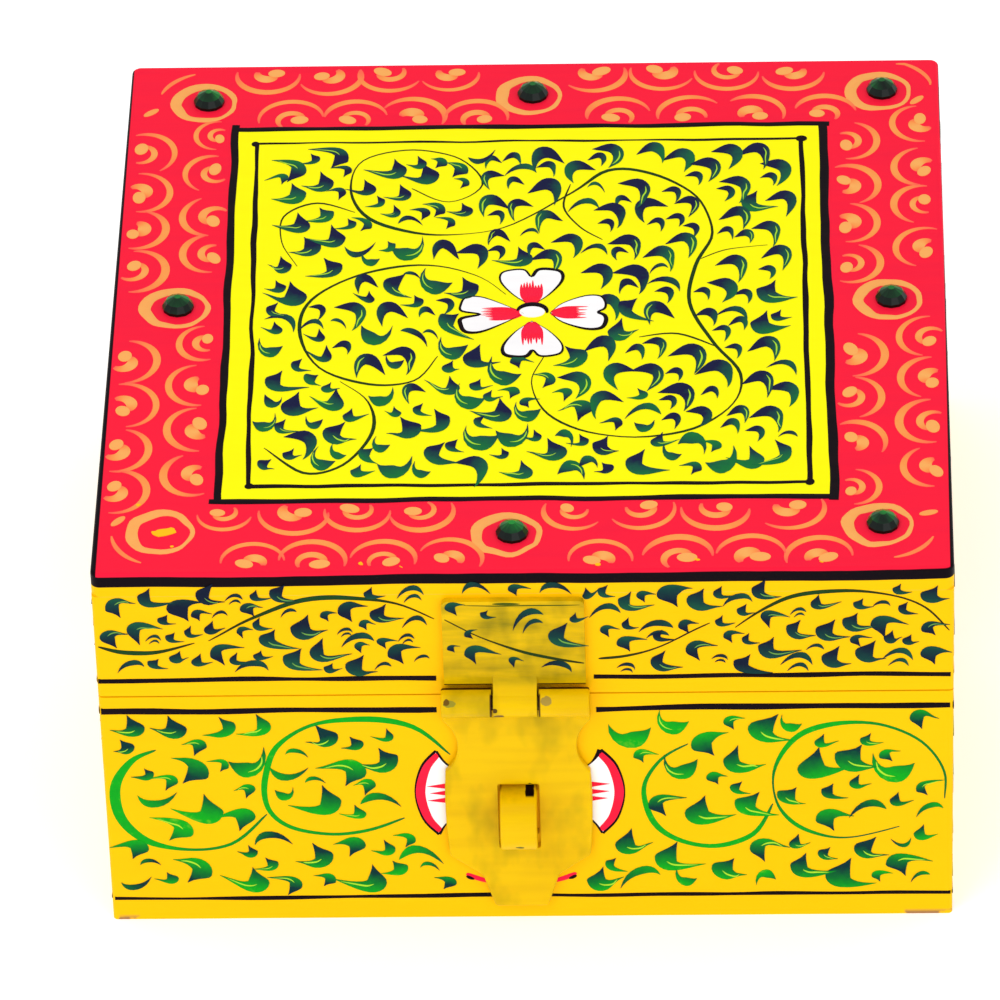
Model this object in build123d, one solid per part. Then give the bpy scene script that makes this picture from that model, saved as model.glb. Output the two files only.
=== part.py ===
from build123d import *
import math
import os

# Painted wooden jack in the box, closed by a hasp over a staple.
# Frame: +X right, +Y back, +Z up, origin at the centre of the bottom face. Millimetres.

# ---- Box and lid: driving dimensions ----
width = 150.0            # outside, left to right
depth = 150.0            # outside, front to back
total_height = 79.5      # table to the painted top of the lid
base_height = 51.7       # top edge of the four base walls
parting_gap = 0.3        # air between base and closed lid
wall = 6.0               # boards of the base and of the lid's rim
panel = 5.0              # board that closes the lid
bottom = 4.0             # board let in between the base walls
corner_round = 0.8       # sanded upright corners of the walls
lid_corner_round = 1.6   # sanded corners of the lid's board
edge_ease = 0.6          # eased top edge of the lid's board

# ---- Stones glued on the lid ----
stone_radius = 2.85
stone_sides = 12
stone_girdle = 0.6
stone_shoulder = 1.7
stone_height = 2.6

# ---- Hasp on the front ----
hasp_x = -1.7            # the hasp sits slightly left of the middle
hasp_width = 26.0        # across the knuckles and the flap's top
hasp_leaf_width = 24.8
hasp_sheet = 1.2
hasp_barrel = 2.6        # outside radius of the rolled knuckles
hasp_pin_radius = 1.2
hasp_middle = 8.0        # length of the lid leaf's knuckle
hasp_axis_z = 52.2
hasp_leaf_top = 73.7
hasp_lift = 0.3          # the flap hangs this far off the front wall
running = 0.06           # radial clearance of a turning knuckle on its pin
barrel_gap = 0.15        # air between a barrel and the wall behind it
knuckle_play = 0.15      # each side of a hinge's middle knuckle
hasp_play = 0.35         # each side of the hasp's middle knuckle, which is worn

# ---- Staple through the front wall ----
staple_width = 6.5
staple_sheet = 1.2
staple_z = 25.2
staple_height = 11.4     # outside, leg to leg
staple_reach = 7.2       # how far the crown stands out of the wall
staple_bend = 4.5        # outside radius of the crown's bends
staple_clinch = 4.0      # leg ends hammered flat inside the box
slot_z = 24.9            # middle of the slot in the flap
slot_width = 7.4
slot_height = 15.0

# ---- Rear hinges ----
hinge_x = 45.0           # each side of the middle
hinge_width = 22.0
hinge_leaf = 14.0        # height of each leaf from the axis
hinge_sheet = 0.9
hinge_barrel = 2.3
hinge_pin_radius = 1.0
hinge_middle = 8.0
stop_angle = 115.0       # the stop tab meets the lower leaf here
stop_reach = 4.6         # tab length from the axis
stop_air = 0.1           # air left under the tab at the stop

# ---- Nails ----
nail_shank = 0.6
nail_head = 1.3
nail_head_thick = 0.4
nail_sunk = 0.4          # heads are driven below the surface and painted over
pin_radius = 0.9         # pins of the hinges and the hasp, filed flush

# ---- Jack ----
block_radius = 29.0      # round block that carries the spring
block_thick = 5.0
wire = 1.6
spring_radius = 19.0     # to the middle of the wire
spring_turns = 10
plate_radius = 23.0      # disc on top of the spring
plate_thick = 4.0
plate_z = 27.0
neck_radius = 4.5
head_radius = 16.5
head_z = 50.6
head_bore_top = 42.0
cap_radius = 18.2
cap_z = 55.5             # lower edge of the cap
brim_radius = 17.7
brim_roll = 1.9
brim_z = 54.0
bead_radius = 2.8
nose_radius = 2.4
band_thick = 1.0         # tape that binds the sleeve's hems
skin = 0.05              # air between shells that sit on each other

# ---- Worked out ----
front = -depth / 2
back = depth / 2
left = -width / 2
right = width / 2
lid_bottom = base_height + parting_gap
rim_top = total_height - panel
hasp_axis_y = front - hasp_barrel - barrel_gap
hinge_axis_y = back + hinge_barrel + barrel_gap
hinge_axis_z = lid_bottom
block_top = bottom + block_thick
groove_depth = wire
sleeve_inner = plate_radius + band_thick + 0.3
sleeve_outer = block_radius + 0.8


# ---- Helpers ----
def block(x0, x1, y0, y1, z0, z1):
    """A box between two corners."""
    middle = Pos((x0 + x1) / 2, (y0 + y1) / 2, (z0 + z1) / 2)
    return middle * Box(x1 - x0, y1 - y0, z1 - z0)


def rod_x(x0, x1, y, z, radius):
    return Pos((x0 + x1) / 2, y, z) * Rot(0, 90, 0) * Cylinder(radius, x1 - x0)


def rod_y(x, y0, y1, z, radius):
    return Pos(x, (y0 + y1) / 2, z) * Rot(90, 0, 0) * Cylinder(radius, y1 - y0)


def disc(radius, z0, z1, x=0.0, y=0.0):
    return Pos(x, y, (z0 + z1) / 2) * Cylinder(radius, z1 - z0)


def ring(inner, outer, z0, z1):
    return disc(outer, z0, z1) - disc(inner, z0 - 1, z1 + 1)


def save(node, *pieces):
    """Writes one node, as one solid or as a group of separate solids."""
    solids = [solid for piece in pieces for solid in piece.solids()]
    shape = solids[0] if len(solids) == 1 else Compound(solids)
    export_step(shape, f"parts/{node}.step")


def nail_along_y(x, y_face, z, length):
    """A nail from a front or back face, driven towards the middle of the box."""
    inward = 1 if y_face < 0 else -1
    start = y_face + inward * nail_sunk
    ends = sorted((start, start + inward * length))
    head_ends = sorted((start, start + inward * nail_head_thick))
    return rod_y(x, *ends, z, nail_shank) + rod_y(x, *head_ends, z, nail_head)


def nail_down(x, y, z_face, length):
    start = z_face - nail_sunk
    shank = disc(nail_shank, start - length, start, x, y)
    return shank + disc(nail_head, start - nail_head_thick, start, x, y)


# ---- Base: four walls and a bottom ----
def staple_slits():
    """Two slits in the front wall for the staple's legs."""
    leg = (staple_height - staple_sheet) / 2
    x0, x1 = hasp_x - staple_width / 2 - skin, hasp_x + staple_width / 2 + skin
    half = staple_sheet / 2 + skin
    slits = [block(x0, x1, front - 1, front + wall + 1, z - half, z + half)
             for z in (staple_z - leg, staple_z + leg)]
    return slits[0] + slits[1]


def long_board(y0, y1, z0, z1):
    """A front or back board whose two outer upright corners are sanded round."""
    board = block(left, right, y0, y1, z0, z1)
    outer = board.edges().filter_by(Axis.Z).sort_by(Axis.Y)
    corners = outer[:2] if y0 < 0 else outer[-2:]
    return fillet(corners, corner_round)


def side_board(side, z0, z1):
    """A left (-1) or right (+1) board, which fits between front and back."""
    x0, x1 = sorted((side * right, side * (right - wall)))
    return block(x0, x1, front + wall, back - wall, z0, z1)


def block_screw_places():
    return [(-10.0, 0.0), (10.0, 0.0)]


def screw_body(x, y, head_radius_at_top):
    """A countersunk screw through the spring block into the bottom board."""
    shank = disc(1.2, 1.5, block_top, x, y)
    head_depth = 1.3
    cone = Pos(x, y, block_top - head_depth / 2) * Cone(1.2, head_radius_at_top, head_depth)
    return shank + cone


def build_base():
    save("base_front_wall", long_board(front, front + wall, 0, base_height) - staple_slits())
    save("base_back_wall", long_board(back - wall, back, 0, base_height))
    save("base_left_wall", side_board(-1, 0, base_height))
    save("base_right_wall", side_board(1, 0, base_height))

    floor = block(left + wall, right - wall, front + wall, back - wall, 0, bottom)
    for x, y in block_screw_places():
        floor -= screw_body(x, y, 2.4)
    save("base_bottom_board", floor)

    corner_x = right - wall / 2
    save("base_corner_nails", *[nail_along_y(x, y, z, 16)
                                for x in (-corner_x, corner_x)
                                for y in (front, back)
                                for z in (10, 26, 42)])
    save("base_bottom_nails", *[nail_along_y(x, y, bottom / 2, 14)
                                for x in (-45, 0, 45)
                                for y in (front, back)])


# ---- Staple ----
def build_staple():
    """A strip bent to a square U, through the wall, with both ends clinched inside."""
    inside = front + wall
    leg_end = inside + staple_sheet
    crown = front - staple_reach
    half = staple_height / 2
    inner_half = half - staple_sheet
    outer = Pos((crown + leg_end) / 2, staple_z) * Rectangle(leg_end - crown, staple_height)
    outer = fillet(outer.vertices().sort_by(Axis.X)[:2], staple_bend)
    inner_end = leg_end + 2
    inner_crown = crown + staple_sheet
    inner = Pos((inner_crown + inner_end) / 2, staple_z) * Rectangle(inner_end - inner_crown, 2 * inner_half)
    inner = fillet(inner.vertices().sort_by(Axis.X)[:2], staple_bend - staple_sheet)
    strip = outer - inner
    for side in (-1, 1):
        tab_z = staple_z + side * (half + staple_clinch / 2)
        strip += Pos(inside + staple_sheet / 2 + skin / 2, tab_z) * Rectangle(staple_sheet - skin, staple_clinch)
    solid = extrude(Plane.YZ * strip, staple_width / 2, both=True)
    rim = solid.edges().filter_by(lambda e: e.center().Y < front - 2 and abs(e.center().Z - staple_z) > half - 2
                                  and e.geom_type == GeomType.CIRCLE and e.radius > staple_bend - 0.1)
    solid = fillet(rim, 0.5)
    save("hasp_staple", Pos(hasp_x, 0, 0) * solid)


# ---- Lid: a rim of four boards and the painted board on top ----
def stone_places():
    """Middles of the seven stones that are still glued on. The eighth, front left, has come off."""
    return [(-60.2, 63.4), (-0.2, 64.9), (64.4, 65.0), (-63.1, 1.0),
            (65.2, 1.7), (-1.8, -64.6), (62.8, -62.8)]


def stone(x, y):
    """A cut stone: a twelve-sided girdle, two rows of facets and a small table."""
    girdle = extrude(RegularPolygon(stone_radius, stone_sides), stone_girdle)
    levels = [(stone_girdle, stone_radius), (stone_shoulder, stone_radius * 0.74),
              (stone_height, stone_radius * 0.22)]
    shape = girdle
    for (z0, r0), (z1, r1) in zip(levels, levels[1:]):
        shape += loft([Pos(0, 0, z0) * RegularPolygon(r0, stone_sides),
                       Pos(0, 0, z1) * RegularPolygon(r1, stone_sides)])
    return Pos(x, y, total_height) * shape


def build_lid():
    save("lid_front_rim", long_board(front, front + wall, lid_bottom, rim_top))
    save("lid_back_rim", long_board(back - wall, back, lid_bottom, rim_top))
    save("lid_left_rim", side_board(-1, lid_bottom, rim_top))
    save("lid_right_rim", side_board(1, lid_bottom, rim_top))

    board = block(left, right, front, back, rim_top, total_height)
    board = fillet(board.edges().filter_by(Axis.Z), lid_corner_round)
    board = fillet(board.faces().sort_by(Axis.Z)[-1].edges(), edge_ease)
    save("lid_top_board", board)

    corner_x = right - wall / 2
    save("lid_corner_nails", *[nail_along_y(x, y, z, 16)
                               for x in (-corner_x, corner_x)
                               for y in (front, back)
                               for z in (58, 68)])
    nail_line = right - wall / 2
    places = [(x, y) for x in (-50, 50) for y in (-nail_line, nail_line)]
    places += [(x, y) for x in (-nail_line, nail_line) for y in (-50, 0, 50)]
    save("lid_board_nails", *[nail_down(x, y, total_height, 16) for x, y in places])
    save("green_stones", *[stone(x, y) for x, y in stone_places()])


# ---- Hasp: a leaf on the lid, a pin and the swinging flap ----
def hasp_outer_knuckles(radius):
    """The two end knuckles' cylinders, each side of the middle one."""
    inner_end = hasp_middle / 2 + hasp_play / 2
    return [rod_x(*sorted((hasp_x + side * inner_end, hasp_x + side * hasp_width / 2)),
                  hasp_axis_y, hasp_axis_z, radius)
            for side in (-1, 1)]


def hasp_leaf_pin_places():
    return [(hasp_x + dx, z) for dx in (-9.0, 9.0) for z in (59.5, 69.5)]


def web(x0, x1, sheet_face, side):
    """Fills the corner where a sheet rolls into its knuckle, above the axis (side 1) or below it."""
    reach = hasp_barrel * 0.42
    profile = Polyline((hasp_axis_y - reach, hasp_axis_z + side * math.sqrt(hasp_barrel ** 2 - reach ** 2)),
                       (sheet_face, hasp_axis_z + side * (hasp_barrel + 2.0)),
                       (sheet_face + 0.4, hasp_axis_z + side * (hasp_barrel + 2.0)),
                       (sheet_face + 0.4, hasp_axis_z + side * 1.6),
                       (hasp_axis_y - reach, hasp_axis_z + side * 1.6), close=True)
    wedge = extrude(Plane.YZ * make_face(profile), x1 - x0)
    return Pos(x0, 0, 0) * wedge


def build_hasp_leaf():
    clear = hasp_barrel + 0.2
    half = hasp_leaf_width / 2
    sheet = block(hasp_x - half, hasp_x + half, front - hasp_sheet, front, hasp_axis_z + clear, hasp_leaf_top)
    sheet = fillet(sheet.edges().filter_by(Axis.Y).sort_by(Axis.Z)[-2:], 1.0)
    tongue_half = hasp_middle / 2 - hasp_play / 2
    tongue = block(hasp_x - tongue_half, hasp_x + tongue_half, front - hasp_sheet, front - barrel_gap,
                   hasp_axis_z, hasp_axis_z + clear)
    knuckle = rod_x(hasp_x - tongue_half, hasp_x + tongue_half, hasp_axis_y, hasp_axis_z, hasp_barrel)
    leaf = sheet + tongue + knuckle
    leaf += web(hasp_x - tongue_half, hasp_x + tongue_half, front - hasp_sheet, 1)
    leaf -= rod_x(hasp_x - half, hasp_x + half, hasp_axis_y, hasp_axis_z, hasp_pin_radius)
    for x, z in hasp_leaf_pin_places():
        leaf -= rod_y(x, front - hasp_sheet - 1, front + 1, z, pin_radius)
    save("hasp_lid_leaf", leaf)
    save("hasp_leaf_pins", *[rod_y(x, front - hasp_sheet, front + 4.5, z, pin_radius)
                             for x, z in hasp_leaf_pin_places()])
    pin_half = hasp_width / 2 - 0.1
    save("hasp_hinge_pin", rod_x(hasp_x - pin_half, hasp_x + pin_half, hasp_axis_y, hasp_axis_z, hasp_pin_radius))


def flap_outline():
    """Half of the flap's outline, from its top edge down to the tip, mirrored about its middle."""
    top = (hasp_width / 2, hasp_axis_z)
    neck_start = (hasp_width / 2, 46.8)
    neck = (10.5, 41.2)
    shoulder = (12.8, 35.0)
    side = (13.0, 25.0)
    shoulder_end = (12.5, 15.6)
    waist = (6.8, 11.0)
    tip = (4.7, 3.7)
    half = [Line((0, hasp_axis_z), top), Line(top, neck_start),
            ThreePointArc(neck_start, neck, shoulder), ThreePointArc(shoulder, side, shoulder_end),
            Line(shoulder_end, waist), Line(waist, tip), Line(tip, (0, tip[1]))]
    other = [edge.mirror(Plane.YZ) for edge in half]
    return make_face(Wire(half + other))


def build_hasp_flap():
    outline = flap_outline()
    outline = fillet(outline.vertices().filter_by(lambda v: 10.0 < v.Y < 18.0), 1.3)
    outline = fillet(outline.vertices().filter_by(lambda v: v.Y < 5.0 and abs(v.X) > 1.0), 0.8)
    sheet = extrude(Plane.XZ * outline, hasp_sheet)
    rim = sheet.faces().sort_by(Axis.Y)[0].edges().filter_by(lambda e: e.center().Z < hasp_axis_z - 1)
    sheet = fillet(rim, 0.4)
    sheet = Pos(hasp_x, front - hasp_lift, 0) * sheet
    slot = block(hasp_x - slot_width / 2, hasp_x + slot_width / 2, front - 5, front,
                 slot_z - slot_height / 2, slot_z + slot_height / 2)
    slot = fillet(slot.edges().filter_by(Axis.Y), 0.5)
    notch_half = hasp_middle / 2 + hasp_play / 2
    notch = block(hasp_x - notch_half, hasp_x + notch_half, front - 5, front,
                  hasp_axis_z - hasp_barrel - 0.2, hasp_axis_z + 1)
    flap = sheet - slot - notch
    for knuckle in hasp_outer_knuckles(hasp_barrel):
        ends = knuckle.edges().filter_by(GeomType.CIRCLE).sort_by(lambda e: abs(e.center().X - hasp_x))
        flap += fillet(ends[-1], 0.4)
    for side in (-1, 1):
        x0, x1 = sorted((hasp_x + side * notch_half, hasp_x + side * (hasp_width / 2 - 0.4)))
        flap += web(x0, x1, front - hasp_lift - hasp_sheet, -1)
    flap -= rod_x(hasp_x - hasp_width, hasp_x + hasp_width, hasp_axis_y, hasp_axis_z,
                  hasp_pin_radius + running)
    save("hasp_flap", flap)


# ---- Rear hinges, with a stop tab on each lid leaf ----
def hinge_pin_places(x, side):
    """Two pins in one leaf: side +1 is the lid's leaf, -1 the base's."""
    return [(x + dx, hinge_axis_z + side * 9.0) for dx in (-7.5, 7.5)]


def hinge_outer_knuckles(x, radius):
    inner_end = hinge_middle / 2 + knuckle_play
    return [rod_x(*sorted((x + side * inner_end, x + side * hinge_width / 2)),
                  hinge_axis_y, hinge_axis_z, radius)
            for side in (-1, 1)]


def hinge_sheet_block(x, half, z0, z1, lift=0.0):
    return block(x - half, x + half, back + lift, back + hinge_sheet, z0, z1)


def base_leaf(x):
    clear = hinge_barrel + 0.2
    half = hinge_width / 2
    leaf = hinge_sheet_block(x, half, hinge_axis_z - hinge_leaf, hinge_axis_z - clear)
    leaf = fillet(leaf.edges().filter_by(Axis.Y).sort_by(Axis.Z)[:2], 1.2)
    inner_end = hinge_middle / 2 + knuckle_play
    for side in (-1, 1):
        x0, x1 = sorted((x + side * inner_end, x + side * half))
        leaf += block(x0, x1, back, back + hinge_sheet, hinge_axis_z - clear, hinge_axis_z)
    for knuckle in hinge_outer_knuckles(x, hinge_barrel):
        leaf += knuckle
    return leaf


def stop_tab(x):
    """The tab as it lies against the base leaf at the stop, turned back to the closed pose."""
    half = hinge_middle / 2 - knuckle_play
    face = back + hinge_sheet + stop_air
    tab = block(x - half, x + half, face, face + hinge_sheet, hinge_axis_z - stop_reach, hinge_axis_z)
    axis = Pos(0, hinge_axis_y, hinge_axis_z)
    return axis * Rot(stop_angle, 0, 0) * axis.inverse() * tab


def lid_leaf(x):
    clear = hinge_barrel + 0.2
    tongue_half = hinge_middle / 2 - knuckle_play
    leaf = hinge_sheet_block(x, hinge_width / 2, hinge_axis_z + clear, hinge_axis_z + hinge_leaf)
    leaf = fillet(leaf.edges().filter_by(Axis.Y).sort_by(Axis.Z)[-2:], 1.2)
    leaf += hinge_sheet_block(x, tongue_half, hinge_axis_z, hinge_axis_z + clear, lift=barrel_gap)
    leaf += rod_x(x - tongue_half, x + tongue_half, hinge_axis_y, hinge_axis_z, hinge_barrel)
    return leaf + stop_tab(x)


def build_hinges():
    base_leaves, lid_leaves, pins, base_pins, lid_pins = [], [], [], [], []
    for x in (-hinge_x, hinge_x):
        lower = base_leaf(x)
        upper = lid_leaf(x)
        for side, leaf_pins in ((-1, base_pins), (1, lid_pins)):
            for px, pz in hinge_pin_places(x, side):
                hole = rod_y(px, back - 1, back + hinge_sheet + 1, pz, pin_radius)
                if side < 0:
                    lower -= hole
                else:
                    upper -= hole
                leaf_pins.append(rod_y(px, back - 4.5, back + hinge_sheet, pz, pin_radius))
        span = (x - hinge_width / 2, x + hinge_width / 2)
        lower -= rod_x(*span, hinge_axis_y, hinge_axis_z, hinge_pin_radius)
        upper -= rod_x(*span, hinge_axis_y, hinge_axis_z, hinge_pin_radius + running)
        base_leaves.append(lower)
        lid_leaves.append(upper)
        pins.append(rod_x(span[0] - 0.3, span[1] + 0.3, hinge_axis_y, hinge_axis_z, hinge_pin_radius))
    save("rear_hinge_base_leaves", *base_leaves)
    save("rear_hinge_lid_leaves", *lid_leaves)
    save("rear_hinge_pins", *pins)
    save("rear_hinge_base_nails", *base_pins)
    save("rear_hinge_lid_nails", *lid_pins)


# ---- Jack: block, spring, sleeve, disc, neck, head and cap, pressed down under the lid ----
def wire_groove(z0, z1):
    return ring(spring_radius - wire / 2 - 0.1, spring_radius + wire / 2 + 0.1, z0, z1)


def build_spring_and_block():
    carrier = disc(block_radius, bottom, block_top) - wire_groove(block_top - groove_depth, block_top + 1)
    for x, y in block_screw_places():
        carrier -= screw_body(x, y, 2.4)
    save("spring_block", carrier)
    save("spring_block_screws", *[screw_body(x, y, 2.4) for x, y in block_screw_places()])

    first = block_top - groove_depth + wire / 2
    last = plate_z + groove_depth - wire / 2
    coil = Helix(pitch=(last - first) / spring_turns, height=last - first, radius=spring_radius)
    start = Plane(origin=coil @ 0, z_dir=coil % 0)
    save("jack_spring", Pos(0, 0, first) * sweep(start * Circle(wire / 2), path=coil))


def build_sleeve():
    save("jack_sleeve", ring(sleeve_inner, sleeve_outer, block_top + 0.2, plate_z + plate_thick - 0.4))
    save("sleeve_lower_band", ring(block_radius, block_radius + band_thick, bottom + 0.6, block_top - 0.4))
    save("sleeve_upper_band", ring(plate_radius, plate_radius + band_thick,
                                   plate_z + 0.4, plate_z + plate_thick - 0.4))


def build_jack():
    plate_top = plate_z + plate_thick
    plate = disc(plate_radius, plate_z, plate_top) - wire_groove(plate_z - 1, plate_z + groove_depth)
    save("jack_plate", plate - disc(neck_radius, plate_z - 1, plate_top + 1))
    save("jack_neck_dowel", disc(neck_radius, plate_z, head_bore_top))
    save("jack_collar", ring(neck_radius + 0.6, head_radius, plate_top + 0.3, head_z - head_radius - 0.2))

    centre = Pos(0, 0, head_z)
    head = centre * Sphere(head_radius) - disc(neck_radius, head_z - head_radius - 1, head_bore_top)
    save("jack_head", head)
    inner = centre * Sphere(head_radius + skin)
    above = block(-30, 30, -30, 30, cap_z, total_height)
    dome = centre * Sphere(cap_radius)
    save("jack_cap", (dome - inner) & above)
    roll = Pos(0, 0, brim_z) * Torus(brim_radius, brim_roll)
    save("jack_cap_brim", roll - inner - above)
    bead = Pos(0, 0, head_z + cap_radius + bead_radius * 0.85) * Sphere(bead_radius)
    save("jack_cap_bead", bead - dome)
    nose = Pos(0, -head_radius - nose_radius * 0.35, head_z - 1.5) * Sphere(nose_radius)
    save("jack_nose", nose - inner)


os.makedirs("parts", exist_ok=True)
build_base()
build_staple()
build_lid()
build_hasp_leaf()
build_hasp_flap()
build_hinges()
build_spring_and_block()
build_sleeve()
build_jack()
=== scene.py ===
"""Looks for a hand-painted wooden jack in the box: enamel patterns on the boards, a painted
hasp, and the sprung doll with its cloth sleeve inside. Patterns are drawn in millimetres on
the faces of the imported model."""
import random
from math import atan2, copysign, cos, degrees, dist, hypot, pi, radians, sin

import bmesh
import bpy
from mathutils import Matrix, Vector
from mathutils.noise import noise
from mathutils.geometry import tessellate_polygon

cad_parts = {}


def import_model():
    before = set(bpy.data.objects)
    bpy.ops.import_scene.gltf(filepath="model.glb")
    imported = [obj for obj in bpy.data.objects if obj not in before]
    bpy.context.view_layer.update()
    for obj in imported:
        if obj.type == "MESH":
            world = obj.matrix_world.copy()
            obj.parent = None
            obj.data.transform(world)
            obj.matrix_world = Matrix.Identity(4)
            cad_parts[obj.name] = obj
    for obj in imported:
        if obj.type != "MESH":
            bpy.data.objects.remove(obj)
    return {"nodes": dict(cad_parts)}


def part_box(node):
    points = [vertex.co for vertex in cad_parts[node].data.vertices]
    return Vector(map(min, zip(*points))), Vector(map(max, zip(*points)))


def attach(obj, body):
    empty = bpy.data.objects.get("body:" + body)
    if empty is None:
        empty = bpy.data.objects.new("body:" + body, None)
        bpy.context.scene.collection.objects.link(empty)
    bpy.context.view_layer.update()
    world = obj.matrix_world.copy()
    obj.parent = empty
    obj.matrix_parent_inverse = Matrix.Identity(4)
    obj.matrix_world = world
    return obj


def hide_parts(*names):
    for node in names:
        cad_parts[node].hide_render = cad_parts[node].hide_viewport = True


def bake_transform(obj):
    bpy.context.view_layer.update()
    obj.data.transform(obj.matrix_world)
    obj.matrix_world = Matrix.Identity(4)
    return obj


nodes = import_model()["nodes"]
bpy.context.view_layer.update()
MM = 0.001


def box_mm(node):
    low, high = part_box(node)
    return low / MM, high / MM


# ---- Sizes read from the imported model, in millimetres ----
board_low, board_high = box_mm("lid_top_board")
half = board_high.x                       # half the box's width, and half its depth
top_z = board_high.z
leaf_high = box_mm("hasp_lid_leaf")[1]
flap_low, flap_high = box_mm("hasp_flap")
hasp_x = (flap_low.x + flap_high.x) / 2
hasp_half = (flap_high.x - flap_low.x) / 2
head_low, head_high = box_mm("jack_head")
head_radius = (head_high.x - head_low.x) / 2
head_z = head_high.z - head_radius
# ---- Sizes that part.py uses too ----
HASP_SHEET = 1.2                          # thickness of the hasp's leaf
HINGE_X, HINGE_HALF = 45.0, 11.0          # middle of each rear hinge, and half its width


def add(name, data):
    """Puts an object with this mesh, lamp or camera into the scene."""
    made = bpy.data.objects.new(name, data)
    bpy.context.scene.collection.objects.link(made)
    return made


# ---- Camera: the view that the box is seen in ----
def make_camera():
    """Looks down at the front from a little right of the middle, through a long lens."""
    place = Vector((45.2, -1300.4, 1076.1)) * MM
    elevation, yaw, roll = (radians(a) for a in (38.65, 2.266, -1.928))
    turn = Matrix.Rotation(yaw, 3, "Z") @ Matrix.Rotation(pi / 2 - elevation, 3, "X")
    turn = turn @ Matrix.Rotation(roll, 3, "Z")
    data = bpy.data.cameras.new("camera")
    data.sensor_width, data.lens = 36.0, 328.2
    data.clip_start, data.clip_end = 0.01, 20.0
    camera = add("camera", data)
    camera.matrix_world = Matrix.Translation(place) @ turn.to_4x4()
    bpy.context.scene.camera = camera


make_camera()


# ---- Material helpers ----
def linear(colour):
    """An 8-bit (r, g, b) as linear light. A node's output or a colour with alpha stays as it is."""
    if not isinstance(colour, tuple) or len(colour) == 4:
        return colour
    shares = (c / 255 for c in colour)
    return tuple(c / 12.92 if c <= 0.04045 else ((c + 0.055) / 1.055) ** 2.4 for c in shares) + (1.0,)


class Value:
    """A node's output that can be added to, multiplied and so on."""

    def __init__(self, graph, socket):
        self.graph, self.socket = graph, socket

    def __abs__(self):
        return self.graph.math("ABSOLUTE", self)


for sign, operation in (("add", "ADD"), ("sub", "SUBTRACT"), ("mul", "MULTIPLY"), ("truediv", "DIVIDE")):
    setattr(Value, f"__{sign}__", lambda a, b, kind=operation: a.graph.math(kind, a, b))
    setattr(Value, f"__r{sign}__", lambda b, a, kind=operation: b.graph.math(kind, a, b))


class Graph:
    """A short way to write a material's nodes."""

    def __init__(self, name):
        self.material = bpy.data.materials.new(name)
        self.material.use_nodes = True
        self.tree = self.material.node_tree
        self.shader = next(n for n in self.tree.nodes if n.type == "BSDF_PRINCIPLED")

    def put(self, sockets, values):
        for key, value in values.items():
            if isinstance(value, Value):
                self.tree.links.new(value.socket, sockets[key])
            else:
                sockets[key].default_value = value

    def node(self, kind, inputs, output=0, **settings):
        made = self.tree.nodes.new(kind)
        for key, value in settings.items():
            setattr(made, key, value)
        self.put(made.inputs, inputs)
        return Value(self, made.outputs[output])

    def place(self, output="Object"):
        """The point in the row frame, in metres: a node's object sits at the origin."""
        return self.node("ShaderNodeTexCoord", {}, output)

    def stretched(self, *scale):
        return self.node("ShaderNodeMapping", {"Vector": self.place(), "Scale": scale})

    def axis(self, name, vector=None):
        return self.node("ShaderNodeSeparateXYZ", {0: vector or self.place()}, name)

    def noise(self, scale, detail=3.0, vector=None, rough=0.55):
        inputs = {"Vector": vector or self.place(), "Scale": scale, "Detail": detail, "Roughness": rough}
        return self.node("ShaderNodeTexNoise", inputs, "Fac")

    def math(self, operation, a, b=0.0, clamp=False):
        return self.node("ShaderNodeMath", {0: a, 1: b}, operation=operation, use_clamp=clamp)

    def step(self, value, low, high):
        """0 below low, 1 above high, straight between."""
        return self.node("ShaderNodeMapRange", {"Value": value, "From Min": low, "From Max": high}, "Result")

    def ramp(self, value, *stops):
        made = self.node("ShaderNodeValToRGB", {"Fac": value}, "Color")
        elements = made.socket.node.color_ramp.elements
        while len(elements) < len(stops):
            elements.new(0.5)
        for element, (position, colour) in zip(elements, stops):
            element.position, element.color = position, linear(colour)
        return made

    def mix(self, fac, a, b):
        """From colour a to colour b. Inputs 6 and 7 and output 2 are the Mix node's colour sockets."""
        return self.node("ShaderNodeMix", {0: fac, 6: linear(a), 7: linear(b)}, 2, data_type="RGBA")

    def attribute(self, name):
        return self.node("ShaderNodeAttribute", {}, "Fac", attribute_name=name)

    def spot(self, x, z, across, up, ragged=1.6):
        """1 inside a ragged oval on the front, given in millimetres, and 0 outside."""
        dx = (self.axis("X") - x * MM) / (across * MM)
        dz = (self.axis("Z") - z * MM) / (up * MM)
        return self.step(dx * dx + dz * dz + (self.noise(620.0) - 0.5) * (2 * ragged), 1.1, 0.9)

    def bump(self, height, strength=0.3, distance=0.0002):
        normal = self.node("ShaderNodeBump", {"Height": height, "Strength": strength, "Distance": distance})
        self.put(self.shader.inputs, {"Normal": normal})

    def finish(self, colour, roughness, coat=0.0, **constants):
        self.put(self.shader.inputs, {
            "Base Color": linear(colour), "Roughness": roughness, "Specular IOR Level": 0.05,
            "Coat Weight": coat, "Coat Roughness": 0.12,
            **{key.replace("_", " "): value for key, value in constants.items()}})
        return self.material


# ---- Colours ----
TOP_YELLOW = (255, 248, 0)
SIDE_YELLOW, SIDE_SHADE = (252, 195, 0), (246, 190, 0)
RED = (250, 26, 58)
NAVY = (20, 24, 62)
TEAL = (22, 82, 66)
GREEN = (20, 118, 52)
BRIGHT_GREEN = (12, 168, 26)
GLINT = (172, 222, 50)                    # where the brush left the paint thin
ORANGE = (248, 148, 74)
PINK_ORANGE = (255, 92, 80)
BLACK = (12, 2, 10)
WOOD_PALE, WOOD_DARK = (214, 178, 126), (170, 124, 76)


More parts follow.
